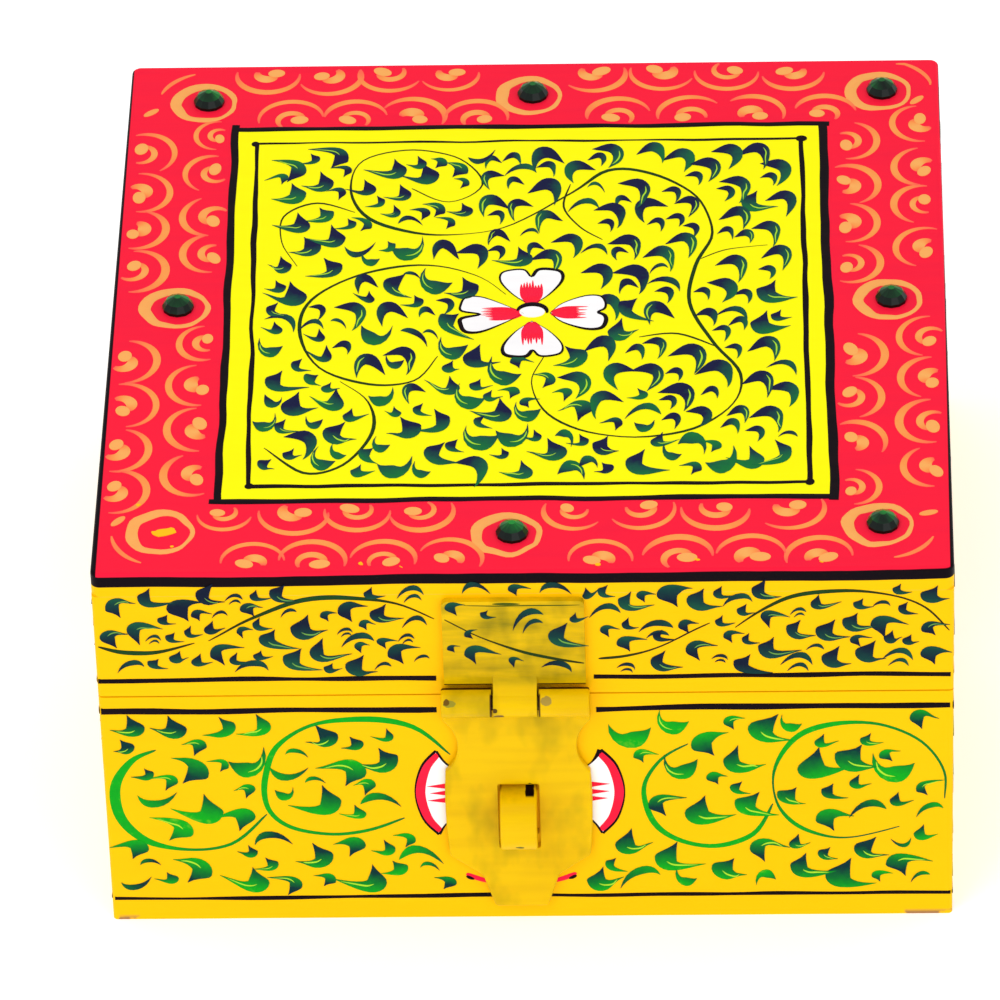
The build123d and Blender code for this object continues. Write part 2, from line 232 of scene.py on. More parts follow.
def wood_colour(g, along):
    """Pale ply: bands along one axis, with fine pores."""
    scale = [18 if axis == along else 160 for axis in "xyz"]
    grain = g.noise(1.0, 4.0, g.stretched(*scale)) * 0.75 + g.noise(6.0, 2.0, g.stretched(*scale)) * 0.35
    return g.ramp(grain, (0.38, WOOD_DARK), (0.62, WOOD_PALE)), grain


def brushed(g, colour, shade, amount=0.5):
    """Enamel laid on with a brush: faint streaks and thin places."""
    streaks = g.noise(1.0, 3.0, g.stretched(35, 420, 420))
    thin = g.step(streaks * 0.5 + g.noise(60.0, 3.0) * 0.5, 0.45, 0.75) * amount
    return g.mix(thin, colour, shade), streaks


def plain_wood(name, along):
    g = Graph(name)
    colour, grain = wood_colour(g, along)
    g.bump(grain, 0.25, 0.0003)
    return g.finish(colour, 0.72)


def wall_paint(name, along):
    """Yellow enamel outside and on the edges, bare ply inside, a little wood showing at the feet."""
    g = Graph(name)
    wood, grain = wood_colour(g, along)
    paint, streaks = brushed(g, SIDE_YELLOW, SIDE_SHADE, 0.6)
    edge = g.math("MAXIMUM", abs(g.axis("X")), abs(g.axis("Y"))) + (g.noise(90.0) - 0.5) * 0.006
    colour = g.mix(g.step(edge, (half - 2.4) * MM, (half - 1.6) * MM), wood, paint)
    corner = g.math("MINIMUM", abs(g.axis("X")), abs(g.axis("Y")))
    low = g.step(g.axis("Z"), 0.0012, 0.0004)
    worn = low * g.step(g.noise(120.0), 0.5, 0.54) * g.step(corner, 0.062, 0.066)
    g.bump(streaks * 0.6 + grain * 0.4, 0.22, 0.00025)
    return g.finish(g.mix(worn, colour, WOOD_DARK), 0.42)


def top_paint():
    """The lid's board: red above, a black band round its edge, yellow below that, bare ply under."""
    g = Graph("top_board_paint")
    red, streaks = brushed(g, RED, (236, 22, 62), 0.5)
    yellow, _ = brushed(g, SIDE_YELLOW, SIDE_SHADE, 0.6)
    wood, grain = wood_colour(g, "x")
    z = g.axis("Z")
    height = z + (g.noise(28.0) - 0.5) * 0.0012 + g.axis("X") * -0.003      # the band wanders and slants
    colour = g.mix(g.step(height, (top_z - 2.8) * MM, (top_z - 2.7) * MM), yellow, BLACK)
    left = g.axis("X") * -1.0 + g.axis("Y") * -0.004
    right = g.axis("X") + g.axis("Y") * -0.007
    edges = g.math("MAXIMUM", g.step(left, (half - 0.75) * MM, (half - 0.65) * MM),
                   g.step(right, (half - 0.25) * MM, (half - 0.15) * MM))
    above = g.step(height, (top_z - 0.6) * MM, (top_z - 0.45) * MM) * (1.0 - edges)
    colour = g.mix(above, colour, red)
    g.bump(streaks + grain * 0.3, 0.15, 0.0002)
    return g.finish(g.mix(g.step(z, (board_low.z + 0.05) * MM, board_low.z * MM), colour, wood), 0.4)


def enamel(name, colour, shade, roughness=0.42, amount=0.5):
    g = Graph(name)
    mixed, streaks = brushed(g, colour, shade, amount)
    g.bump(streaks, 0.15, 0.0002)
    return g.finish(mixed, roughness)


def toned(name, *stops):
    """Brush marks whose colour runs from one end of the ramp to the other along the mark."""
    g = Graph(name)
    tone = g.math("ADD", g.attribute("tone"), (g.noise(900.0, 2.0) - 0.5) * 0.22, clamp=True)
    g.bump(g.noise(1600.0, 2.0), 0.15, 0.0001)
    return g.finish(g.ramp(tone, *stops), 0.4)


def hasp_paint():
    """Yellow enamel over sheet steel: olive smears of half-dry green, painted shade in the gaps between the
    knuckles and under the leaf, a painted shadow at the staple's slot, and a few chips."""
    g = Graph("hasp_paint")
    paint, streaks = brushed(g, (234, 190, 0), (216, 168, 0), 0.8)
    z, aside = g.axis("Z"), abs(g.axis("X") - hasp_x * MM)
    across, aslant = g.noise(1.0, 4.0, g.stretched(70, 70, 420)), g.noise(1.0, 3.0, g.stretched(130, 130, 70))
    on_leaf = g.step(z, 0.0552, 0.0562)
    smear = g.step(across, 0.3, 0.8) * on_leaf * 0.62 + g.step(aslant, 0.48, 0.72) * 0.46
    colour = g.mix(smear, paint, (120, 112, 10))
    # Painted shade: dark brown in the narrow gaps between the knuckles and along the seam under the leaf.
    outer = g.step(aside, 0.0038, 0.0041)                   # beyond the middle knuckle
    rolled = g.step(z, 0.0541, 0.0543) * g.step(g.axis("Y"), -0.0774, -0.0772)
    seam_shade = g.step(z, 0.05525, 0.05515) * rolled * outer
    gap = outer * g.step(aside, 0.00455, 0.0043) * g.step(z, 0.0548, 0.0546) * g.step(z, 0.0492, 0.0496)
    colour = g.mix(g.math("MAXIMUM", seam_shade, gap), colour, (58, 28, 8))
    left = hasp_x - hasp_half
    for x, up, wide, high, bare in ((left + 1.8, 53.6, 1.3, 0.5, (150, 140, 40)),
                                    (left + 1.0, 53.9, 0.5, 0.5, (110, 80, 20)),
                                    (hasp_x + 5.5, 53.9, 0.9, 0.6, (168, 140, 58)),
                                    (hasp_x - 2.9, 50.7, 1.0, 0.6, (118, 92, 50)),
                                    (hasp_x - 3.6, 52.3, 0.45, 0.5, (84, 60, 20)),
                                    (hasp_x + 0.3, 22.0, 0.8, 0.36, (96, 96, 0)),
                                    (hasp_x - 2.7, 19.6, 0.7, 0.3, (120, 60, 10))):
        colour = g.mix(g.spot(x, up, wide, high), colour, bare)
    # Painted shadow: a black spot where the gap between the staple's crown and the slot's top edge lies in
    # shade.
    slot_shadow = g.spot(hasp_x + 2.0, 31.2, 0.8, 1.3, 0.5) * g.step(g.axis("Y"), -0.0785, -0.0780)
    g.bump(streaks, 0.25, 0.0003)
    return g.finish(g.mix(slot_shadow, colour, BLACK), 0.36, coat=0.06)


def metal(name, colour, dark, roughness):
    g = Graph(name)
    mixed = g.mix(g.step(g.noise(220.0, 4.0), 0.45, 0.7), colour, dark)
    g.bump(g.noise(1.0, 2.0, g.stretched(300, 2600, 2600)), 0.08, 0.0001)
    return g.finish(mixed, roughness + g.noise(500.0) * 0.18, Metallic=1.0)


def stone_glass():
    """Dark green foiled glass with painted light and shade: up and back facets bright green, front ones near
    black.
    """
    g = Graph("green_stone")
    facing = g.place("Normal")
    # Painted light and shade: the colour is set by which way each facet faces, as if lit from above and behind.
    painted_shading = g.axis("Y", facing) * 0.42 + g.axis("Z", facing) * 0.5 + (g.noise(330.0, 0.0) - 0.5) * 0.5
    colour = g.ramp(painted_shading, (0.1, (1, 14, 9)), (0.34, (2, 60, 26)), (0.62, (14, 134, 42)))
    return g.finish(colour, 0.12, coat=0.35, IOR=1.5)


def cloth(name, colour, shade, scale=900.0):
    """Plain woven cotton: crossed threads and soft fading."""
    g = Graph(name)
    turned, across = (g.node("ShaderNodeTexWave", {"Vector": g.place(), "Scale": scale}, "Fac",
                             wave_type="BANDS", bands_direction=way) for way in "ZX")
    fade = g.step(g.noise(70.0, 4.0), 0.4, 0.75) * 0.5
    g.bump(turned * across, 0.35, 0.0002)
    return g.finish(g.mix(fade, colour, shade), 0.85, Sheen_Weight=0.35, Sheen_Roughness=0.5)


def collar_cloth():
    """Cream cotton with a green hem."""
    g = Graph("collar_cotton")
    cream = g.mix(g.step(g.noise(140.0, 3.0), 0.4, 0.7) * 0.5, (244, 238, 220), (226, 216, 192))
    g.bump(g.noise(2600.0, 1.0), 0.3, 0.0001)
    colour = g.mix(g.step(g.attribute("tone"), 0.4, 0.6), cream, (20, 120, 60))
    return g.finish(colour, 0.85, Sheen_Weight=0.35, Sheen_Roughness=0.5)


def felt(name, colour, shade):
    g = Graph(name)
    fibres = g.noise(700.0, 6.0, rough=0.75)
    g.bump(fibres, 0.6, 0.0004)
    mixed = g.mix(g.step(fibres, 0.35, 0.7), colour, shade)
    return g.finish(mixed, 0.95, Sheen_Weight=0.6, Sheen_Roughness=0.6)


def doll_paint():
    """Flesh-coloured satin paint over turned wood, with bare wood in the bore."""
    g = Graph("doll_face_paint")
    wood, grain = wood_colour(g, "z")
    flesh = g.mix(g.step(g.noise(90.0), 0.4, 0.7), (240, 196, 160), (232, 182, 144))
    below = g.step(g.axis("Z"), (head_low.z + 0.7) * MM, (head_low.z + 0.3) * MM)
    g.bump(grain, 0.06, 0.0002)
    return g.finish(g.mix(below, flesh, wood), 0.38, coat=0.3)


make = {
    "steel": metal("steel", (186, 186, 184), (120, 118, 114), 0.32),
    "brass": metal("brass", (206, 168, 92), (138, 104, 52), 0.3),
    "spring": metal("spring_wire", (200, 202, 206), (128, 128, 130), 0.22),
    "hasp": hasp_paint(),
    "stone": stone_glass(),
    "board": top_paint(),
    "walls_x": wall_paint("wall_paint_along_x", "x"),
    "walls_y": wall_paint("wall_paint_along_y", "y"),
    "ply": plain_wood("bare_ply", "x"),
    "turned": plain_wood("turned_wood", "z"),
    "field": enamel("yellow_field_paint", TOP_YELLOW, (252, 238, 0), amount=0.4),
    "black": enamel("black_line_paint", BLACK, (34, 14, 20), 0.35),
    "white": enamel("white_petal_paint", (252, 250, 250), (236, 232, 236)),
    "red": enamel("red_petal_paint", RED, (238, 40, 90)),
    "leaf": toned("leaf_paint", (0.22, NAVY), (0.5, TEAL), (0.84, GREEN), (0.98, GLINT)),
    "dark_leaf": toned("dark_leaf_paint", (0.1, (16, 26, 48)), (0.5, (16, 58, 56)), (0.86, (24, 88, 60)),
                       (0.97, (110, 160, 70))),
    "bright": toned("bright_leaf_paint", (0.05, (6, 50, 52)), (0.35, (6, 112, 42)), (0.75, BRIGHT_GREEN),
                    (0.99, GLINT)),
    "vine": toned("vine_paint", (0.1, (52, 34, 10)), (0.6, (30, 60, 20)), (0.95, (16, 74, 40))),
    "swirl": toned("swirl_paint", (0.1, PINK_ORANGE), (0.62, ORANGE), (1.0, (246, 172, 92))),
    "olive": toned("olive_smear_paint", (0.2, (70, 84, 14)), (0.8, (150, 140, 8))),
    "glue": enamel("glue_spot", (250, 190, 20), (240, 150, 40)),
    "face": doll_paint(),
    "cap": felt("cap_felt", (22, 116, 60), (14, 88, 46)),
    "brim": felt("brim_felt", (246, 190, 20), (226, 160, 10)),
    "sleeve": cloth("sleeve_cotton", (206, 26, 44), (176, 18, 36)),
    "collar": collar_cloth(),
    "tape": cloth("hem_tape", (240, 184, 24), (220, 158, 16), 1400.0),
    "bead": enamel("bead_paint", (214, 24, 36), (190, 16, 30), 0.22),
    "hair": felt("yarn_hair", (178, 92, 34), (140, 66, 22)),
    "eye": enamel("eye_paint", (54, 108, 150), (40, 88, 130), 0.3),
    "dark": enamel("face_line_paint", (38, 26, 24), (60, 40, 34), 0.3),
    "blush": enamel("blush_paint", (236, 150, 128), (232, 140, 120), 0.4),
}

CAD_LOOKS = {
    "steel": "base_corner_nails base_bottom_nails lid_corner_nails lid_board_nails rear_hinge_pins "
             "spring_block_screws",
    "brass": "rear_hinge_base_leaves rear_hinge_lid_leaves rear_hinge_base_nails rear_hinge_lid_nails",
    "hasp": "hasp_lid_leaf hasp_flap hasp_staple hasp_leaf_pins hasp_hinge_pin",
    "stone": "green_stones",
    "board": "lid_top_board",
    "walls_x": "base_front_wall base_back_wall lid_front_rim lid_back_rim",
    "walls_y": "base_left_wall base_right_wall lid_left_rim lid_right_rim",
    "ply": "base_bottom_board spring_block jack_plate",
    "turned": "jack_neck_dowel",
    "face": "jack_head",
    "cap": "jack_cap",
    "brim": "jack_cap_brim",
    "bead": "jack_cap_bead jack_nose",
    "tape": "sleeve_lower_band sleeve_upper_band",
    "spring": "jack_spring",
    "sleeve": "jack_sleeve",
    "collar": "jack_collar",
}

for look, names in CAD_LOOKS.items():
    for name in names.split():
        if not nodes[name].material_slots:
            nodes[name].data.materials.append(None)
        for slot in nodes[name].material_slots:
            slot.material = make[look]


# ---- Faces to draw on: each turns (across, up, height) in millimetres into a point in metres ----
def flat_face(origin, across, up):
    """Marks stop just short of the board's ends."""
    origin, across, up = Vector(origin), Vector(across), Vector(up)
    out, end = across.cross(up), half - 0.15
    return lambda u, v, h: (origin + across * max(-end, min(end, u)) + up * v + out * h) * MM


TOP = flat_face((0, 0, top_z), (1, 0, 0), (0, 1, 0))
LEAF = flat_face((0, -half - HASP_SHEET, 0), (1, 0, 0), (0, 0, 1))
SIDES = {name: flat_face((x * half, y * half, 0), (-y, x, 0), (0, 0, 1)) for name, x, y in
         (("front", 0, -1), ("right", 1, 0), ("back", 0, 1), ("left", -1, 0))}


# ---- Brush marks ----
SUNK = 0.03                               # marks start this far below the surface


def band(a, b, size):
    """Faces between two rings of points, whose first points are a and b."""
    return [(a + k, a + (k + 1) % size, b + (k + 1) % size, b + k) for k in range(size)]


class Paint:
    """Collects brush marks as thin closed solids, with a tone from 0 to 1 at each point."""

    def __init__(self, face, height):
        self.face, self.height = face, height
        self.points, self.faces, self.tones = [], [], []

    def ring_strip(self, rings, tones, closed=False):
        """Joins cross-sections of equal length into one closed solid."""
        first, size, count = len(self.points), len(rings[0]), len(rings)
        for ring, tone in zip(rings, tones):
            self.points += ring
            self.tones += [tone] * size
        for i in range(count if closed else count - 1):
            self.faces += band(first + i * size, first + (i + 1) % count * size, size)
        if not closed:
            self.faces.append(tuple(first + size - 1 - k for k in range(size)))
            self.faces.append(tuple(first + (count - 1) * size + k for k in range(size)))

    def stroke(self, path, widths, tones=None, closed=False, lift=0.0):
        """A low, rounded ridge of paint along a path, as wide as widths says at each point."""
        rings = []
        for i, (u, v) in enumerate(path):
            before = path[i - 1] if i or closed else path[i]
            after = path[(i + 1) % len(path)] if i + 1 < len(path) or closed else path[i]
            du, dv = after[0] - before[0], after[1] - before[1]
            long = hypot(du, dv) or 1.0
            nu, nv = -dv / long, du / long
            w = max(widths[i], 0.04) / 2
            profile = ((w, -SUNK), (w * 0.9, self.height * 0.7), (0, self.height),
                       (-w * 0.9, self.height * 0.7), (-w, -SUNK))
            rings.append([self.face(u + nu * s, v + nv * s, h + lift) for s, h in profile])
        self.ring_strip(rings, tones or [0.5] * len(path), closed)

    def fill(self, outline, tones=None, lift=0.0):
        """A flat dab of paint inside an outline."""
        first, size = len(self.points), len(outline)
        for h in (-SUNK, self.height):
            self.points += [self.face(u, v, lift + h) for u, v in outline]
        self.tones += list(tones or [0.5] * size) * 2
        self.faces += band(first, first + size, size)
        for triangle in tessellate_polygon([[Vector((u, v, 0)) for u, v in outline]]):
            self.faces.append(tuple(first + size + k for k in triangle))
            self.faces.append(tuple(first + k for k in reversed(triangle)))

    def build(self, name, body, look, slot="painted_wood"):
        place(name, self.points, self.faces, body, look, slot, False, self.tones)


def place(name, points, faces, body, look, slot, smooth=True, tones=None):
    """Makes a piece, turns its faces outwards and lets it ride on a body."""
    mesh = bpy.data.meshes.new(name)
    mesh.from_pydata(points, [], faces)
    if tones:
        mesh.attributes.new("tone", "FLOAT", "POINT").data.foreach_set("value", tones)
    work = bmesh.new()
    work.from_mesh(mesh)
    bmesh.ops.recalc_face_normals(work, faces=work.faces)
    for face in work.faces:
        face.smooth = smooth
    work.to_mesh(mesh)
    work.free()
    mesh.materials.append(make[look])
    piece = add(name, mesh)
    if body:
        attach(piece, body)
    return piece


# ---- Curves ----
def smooth(points, samples=6, closed=False):
    """A curve through all the points."""
    count = len(points)
    made = []
    for i in range(count if closed else count - 1):
        if closed:
            p = [points[(i + k) % count] for k in (-1, 0, 1, 2)]
        else:
            p = [points[min(max(i + k, 0), count - 1)] for k in (-1, 0, 1, 2)]
        for s in range(samples):
            t = s / samples
            made.append(tuple(
                0.5 * (2 * b + (c - a) * t + (2 * a - 5 * b + 4 * c - d) * t * t
                       + (3 * b - a - 3 * c + d) * t ** 3)
                for a, b, c, d in zip(*p)))
    if not closed:
        made.append(tuple(points[-1]))
    return made


def bezier(a, b, c, d, steps):
    """Points on a cubic curve from a to d, leaving out d."""
    made = []
    for i in range(steps):
        t = i / steps
        k = ((1 - t) ** 3, 3 * t * (1 - t) ** 2, 3 * t * t * (1 - t), t ** 3)
        made.append(tuple(sum(w * p[n] for w, p in zip(k, (a, b, c, d))) for n in (0, 1)))
    return made


def moved(points, at, angle=0.0, size=1.0, flip=1.0, tall=1.0):
    """Turns (degrees), scales and shifts points. Flip -1 mirrors them left to right first, and
    tall stretches them up the face last."""
    c, s = cos(radians(angle)) * size, sin(radians(angle)) * size
    return [(at[0] + c * u * flip - s * v, at[1] + (s * u * flip + c * v) * tall) for u, v in points]


def arc(centre, radius_u, radius_v, start, end, steps):
    return [(centre[0] + radius_u * cos(radians(a)), centre[1] + radius_v * sin(radians(a)))
            for a in (start + (end - start) * i / steps for i in range(steps + 1))]


def drift(u, v, reach, seed):
    """A value that wanders slowly over a face, from -1 to 1. A smaller reach makes it slower."""
    return noise(Vector((u * reach, v * reach, seed)))


def wavy(path, amount, seed, reach=0.12):
    """The same path drawn by hand: it wanders by up to about the amount."""
    return [(u + amount * drift(u, v, reach, seed), v + amount * drift(u, v, reach, seed + 9.0))
            for u, v in path]


def swell(count, thin, thick, power=1.0, lean=0.5):
    """Widths that start thin, are thickest at lean along the way, and end thin."""
    made = []
    for i in range(count):
        t = i / (count - 1)
        t = t / lean * 0.5 if t < lean else 0.5 + (t - lean) / (1 - lean) * 0.5
        made.append(thin + (thick - thin) * sin(pi * t) ** power)
    return made


def uneven(path, base, spread, seed):
    """Widths of a line drawn with varying pressure."""
    return [base + spread * drift(u, v, 0.09, seed) for u, v in path]


# ---- Leaves: one dab of a loaded brush each, about one unit long ----
def joined(*pieces):
    """Joins cubic pieces, each given by its start, two handles and end, into one outline."""
    outline = []
    for piece in pieces:
        outline += bezier(*piece, 5)
    return outline


def fish(rng):
    """A blunt nose at the left, a short dark fin above and a long thin tail at the lower right."""
    fin = (rng.uniform(-0.06, 0.16), rng.uniform(0.3, 0.44))
    notch = (fin[0] + rng.uniform(-0.06, 0.03), rng.uniform(-0.12, -0.02))
    tail = (rng.uniform(0.5, 0.84), rng.uniform(-0.24, -0.06))
    nose, belly = (-0.46, rng.uniform(-0.04, 0.08)), (-0.12, rng.uniform(-0.36, -0.3))
    outline = joined(
        (nose, (-0.44, 0.16), (fin[0] - 0.2, fin[1] - 0.22), fin),
        (fin, (fin[0] - 0.03, fin[1] - 0.14), (notch[0] - 0.02, notch[1] + 0.14), notch),
        (notch, (notch[0] + 0.12, notch[1] - 0.1), (tail[0] - 0.3, tail[1] + 0.0), tail),
        (tail, (tail[0] - 0.34, tail[1] - 0.08), (0.14, belly[1] - 0.03), belly),
        (belly, (-0.34, belly[1] + 0.03), (-0.48, -0.16), nose))
    glint = [(-0.16, -0.1), (-0.02, -0.18), (0.2, -0.2), (tail[0] - 0.2, tail[1] - 0.02)]
    return outline, [0.34 - 1.2 * v for u, v in outline], glint


def claw(rng):
    """A dark beak at the left, an arched back and a thin tail that curls down at the right."""
    beak, tail = (-0.52, rng.uniform(-0.06, 0.06)), (rng.uniform(0.14, 0.38), rng.uniform(-0.54, -0.38))
    inner = (rng.uniform(0.06, 0.16), rng.uniform(0.02, 0.1))
    outline = joined(
        (beak, (-0.34, 0.16), (-0.14, 0.42), (0.1, 0.41)),
        ((0.1, 0.41), (0.34, 0.4), (0.5, 0.26), (0.48, 0.02)),
        ((0.48, 0.02), (0.46, -0.18), (tail[0] + 0.13, tail[1] + 0.16), tail),
        (tail, (tail[0] + 0.04, tail[1] + 0.2), (0.26, inner[1] - 0.08), inner),
        (inner, (-0.04, inner[1] + 0.05), (-0.28, 0.03), beak))
    glint = [(0.28, 0.24), (0.36, 0.08), (0.34, -0.1), (tail[0] + 0.07, tail[1] + 0.16)]
    return outline, [0.24 + 0.72 * u - 0.25 * v for u, v in outline], glint


def bowl(rng):
    """A thin horn at the upper left, a round bottom and a blunt right end."""
    horn, end = (rng.uniform(-0.5, -0.34), rng.uniform(0.34, 0.5)), (0.5, rng.uniform(-0.02, 0.2))
    outline = joined(
        (horn, (-0.6, 0.0), (-0.32, -0.38), (0.04, -0.38)),
        ((0.04, -0.38), (0.28, -0.38), (0.4, -0.18), end),
        (end, (0.32, end[1] - 0.1), (0.06, 0.08), (-0.1, 0.02)),
        ((-0.1, 0.02), (-0.28, -0.02), (-0.4, 0.16), horn))
    glint = [(-0.4, 0.2), (-0.36, 0.0), (-0.2, -0.16), (0.02, -0.22)]
    return outline, [0.5 - 0.9 * v - 0.25 * u for u, v in outline], glint


def crescent(rng):
    """A thin arch, thickest towards its right end."""
    rise, end = rng.uniform(0.22, 0.34), (0.46, rng.uniform(-0.12, 0.04))
    outline = joined(
        ((-0.52, -0.2), (-0.4, 0.08), (-0.16, rise), (0.1, rise)),
        ((0.1, rise), (0.28, rise), (0.42, 0.14), end),
        (end, (0.34, 0.06), (0.2, rise - 0.18), (0.02, rise - 0.19)),
        ((0.02, rise - 0.19), (-0.2, rise - 0.2), (-0.38, -0.06), (-0.52, -0.2)))
    return outline, [0.35 + 0.4 * (u + v) for u, v in outline], None


LEAF_KINDS = {"fish": fish, "claw": claw, "bowl": bowl, "crescent": crescent, "pair": crescent}


def draw_leaf(paint, rng, kind, at, size, angle=0.0, flip=1.0, rise=1.0, shade=0.0, tall=1.0):
    """Flip -1 mirrors a leaf left to right, and rise -1 turns it upside down. Returns its outline."""
    def put(points):
        return moved([(u, v * rise) for u, v in points], at, angle, size, flip, tall)

    outline, tones, glint = LEAF_KINDS[kind](rng)
    tones = [min(0.76, max(0.0, t + shade)) for t in tones]
    lift = rng.uniform(0.0, 0.03)
    paint.fill(put(outline), tones, lift)
    if kind == "pair":
        paint.fill(put([(0.66 * u + 0.06, 0.66 * v - 0.24) for u, v in outline]), tones, lift)
    if glint and size > 3.6 and rng.random() < 0.6:
        path = smooth(glint, 4)
        paint.stroke(put(path), swell(len(path), 0.03, 0.055 * size, 0.8), [1.4] * len(path), lift=0.05)
    return put(outline)


def scatter(rng, region, spacing, clear_of, tall, tries=3000):
    """Places in region (left, right, low, high), and the room round each. Distances count less up the
    face, by tall. clear_of is a list of (points, distance)."""
    def far(p, q):
        return hypot(p[0] - q[0], (p[1] - q[1]) / tall)

    left, right, low, high = region
    kept = []
    for _ in range(tries):
        p = (rng.uniform(left, right), rng.uniform(low, high))
        if any(far(p, q) < spacing for q in kept):
            continue
        if all(far(p, q) > gap for points, gap in clear_of for q in points):
            kept.append(p)
    rooms = []                            # to other leaves, to lines, and to the region's edges
    for p in kept:
        others = [far(p, q) for q in kept if q is not p]
        lines = [1.6 * far(p, q) for points, _ in clear_of for q in points]
        edges = [1.2 * min(p[0] - left, right - p[0]) + 3.7, 2.3 * min(p[1] - low, high - p[1]) / tall + 4.0]
        rooms.append(min(others + lines + edges))
    return list(zip(kept, rooms))


def fill_field(paint, rng, region, clear_of, large, small, choose, tall):
    """Large leaves first, then small ones in the gaps between them. Large and small give the spacing and
    the length of a leaf, and choose gives its kind, angle, flip and rise at a place."""
    taken = []
    for spacing, longest in (large, small):
        near = clear_of + [(taken, spacing * 0.62)]
        for (u, v), room in scatter(rng, region, spacing, near, tall):
            kind, angle, flip, rise = choose(u, v, rng)
            length = min(longest * rng.uniform(0.86, 1.04), room * (1.2 if longest > 5 else 1.8))
            shade = 0.4 * drift(u, v, 0.06, 3.0) + rng.uniform(-0.16, 0.1)
            taken += draw_leaf(paint, rng, kind, (u, v), length, angle, flip, rise, shade, tall)[::4]


# ---- The lid's top: a yellow field in a red border ----
TOP_TALL = 1.5                            # marks on the lid are this much taller than wide
FIELD = [(-54.8, 54.9), (53.2, 54.9), (54.4, -54.9), (-53.6, -54.9)]   # corners of the yellow field
INNER = [(-50.9, 50.4), (49.4, 50.4), (50.3, -50.9), (-48.4, -50.9)]   # and of the thin line inside it
FLOWER = (0.6, -1.7)
STONES = [(-60.2, 63.4), (-0.2, 64.9), (64.4, 65.0), (-63.1, 1.0), (65.2, 1.7), (-1.8, -64.6), (62.8, -62.8)]
LOST_STONE = (-62.4, -63.2)

# Vines on the field: listed points, with the thickest width of each line
TOP_VINES = [
    ([(-22, 36), (-15, 32), (-9, 37), (-13, 45), (-22, 48), (-31, 45), (-33, 35), (-28, 26), (-17, 22),
      (-5, 24), (6, 33), (14, 41), (22, 40), (30, 33), (33, 22), (30, 12), (29, 1), (33, -10), (38, -20),
      (36, -30), (26, -37), (13, -37), (4, -31), (1, -22), (3, -14)], 0.9),
    ([(20, -9), (27, -8), (34, -12)], 0.5),
    ([(7, 37), (6, 30), (9, 24), (13, 20)], 0.6),
    ([(31, 14), (36, 17), (43, 18)], 0.45),
    ([(-32, 29), (-39, 32), (-45, 28), (-45, 20), (-42, 13)], 0.6),
    ([(-4, 4), (-10, 10), (-20, 13), (-31, 10), (-39, 3), (-41, -6), (-37, -17), (-28, -22), (-20, -21),
      (-16, -14)], 0.9),
    ([(-33, -21), (-28, -27), (-27, -36), (-32, -45), (-39, -47), (-46, -40)], 1.0),
]


def draw_field():
    """The yellow field and the lines that frame it. The painter's corners aren't quite square."""
    def hand_line(start, end, seed, steps=40):
        return wavy([(start[0] + (end[0] - start[0]) * k / steps, start[1] + (end[1] - start[1]) * k / steps)
                     for k in range(steps + 1)], 0.35, seed)

    field = Paint(TOP, 0.04)
    edge = []
    for a, b in zip(FIELD, FIELD[1:] + FIELD[:1]):
        edge += hand_line(a, b, 2.0, 24)[:-1]
    field.fill(edge)
    field.build("top_yellow_field", "lid", "field")

    lines = Paint(TOP, 0.09)
    widths = ((FIELD, (1.4, 1.75, 1.35, 1.45), 1.3), (INNER, (0.7, 1.0, 0.95, 0.95), 0.2))
    for corners, thick, past in widths:
        for i, width in enumerate(thick):
            a, b = corners[i], corners[(i + 1) % 4]
            long = dist(a, b)
            du, dv = (b[0] - a[0]) / long * past, (b[1] - a[1]) / long * past
            path = hand_line((a[0] - du * 0.4, a[1] - dv * 0.4), (b[0] + du, b[1] + dv), 3.0 + 2 * i + past)
            lines.stroke(path, uneven(path, width, 0.4, 5.0 + i))
    for (u, v), size in zip(INNER, (0.75, 1.0, 0.9, 0.8)):
        lines.fill(wavy(arc((u, v), size, size, 0, 337.5, 15), 0.5, u + v))
    lines.build("top_frame_lines", "lid", "black")


def petal_outline(length, width, notch, inner):
    """A heart with its point at the flower's middle, along +u."""
    side = [(inner, 0.25), (length * 0.42, width * 0.27), (length * 0.72, width * 0.47),
            (length * 0.93, width * 0.46), (length, width * 0.27), (length * 0.985, width * 0.1)]
    return smooth(side + [(length - notch, 0.0)] + [(u, -v) for u, v in reversed(side)], 4, closed=True)


def draw_flame(paint, rng, inner, reach, spread, angle, at, hairs=8):
    """Red brush hairs that start together at the petal's root, widen and end in separate points."""
    for k in range(hairs):
        side = (2 * k / (hairs - 1) - 1) * spread
        end = inner + reach * rng.uniform(0.72, 1.0)
        path = smooth([(inner, side * 0.3), (inner + reach * 0.3, side * 0.86), (inner + reach * 0.6, side),
                       (end, side)], 4)
        paint.stroke(moved(path, at, angle), swell(len(path), 0.06, spread * 0.62, 0.8, 0.42))


def draw_top_flower():
    rng = random.Random(41)
    white, black, red = Paint(TOP, 0.11), Paint(TOP, 0.15), Paint(TOP, 0.14)
    petals = ((91, 13.0, 11.6, 2.2, 2.6), (181, 12.7, 10.9, 3.6, 1.8), (1, 13.3, 10.2, 1.4, 3.6),
              (-88, 12.6, 11.0, 1.8, 2.6))
    for angle, length, width, notch, inner in petals:
        outline = petal_outline(length, width, notch, inner)
        white.fill(moved(outline, FLOWER, angle))
        heavy = 1 if angle < 100 else -1
        thick = [0.16 + 0.9 * max(0.0, (u - length * 0.3) / length) * (1.25 if v * heavy < 0 else 0.6)
                 for u, v in outline]
        black.stroke(moved(outline, FLOWER, angle), thick, closed=True)
        draw_flame(red, rng, inner - 0.1, (length - inner) * 0.72, width * 0.155, angle, FLOWER)
    centre = (FLOWER[0] + 0.1, FLOWER[1] + 0.4)
    white.fill(arc(centre, 2.3, 1.6, 0, 345, 23), lift=0.03)
    path = arc(centre, 2.7, 2.3, -8, 172, 16)
    black.stroke(path, swell(len(path), 0.3, 1.2, 0.7), lift=0.03)
    white.build("top_flower_white", "lid", "white")
    red.build("top_flower_red", "lid", "red")
    black.build("top_flower_outline", "lid", "black")


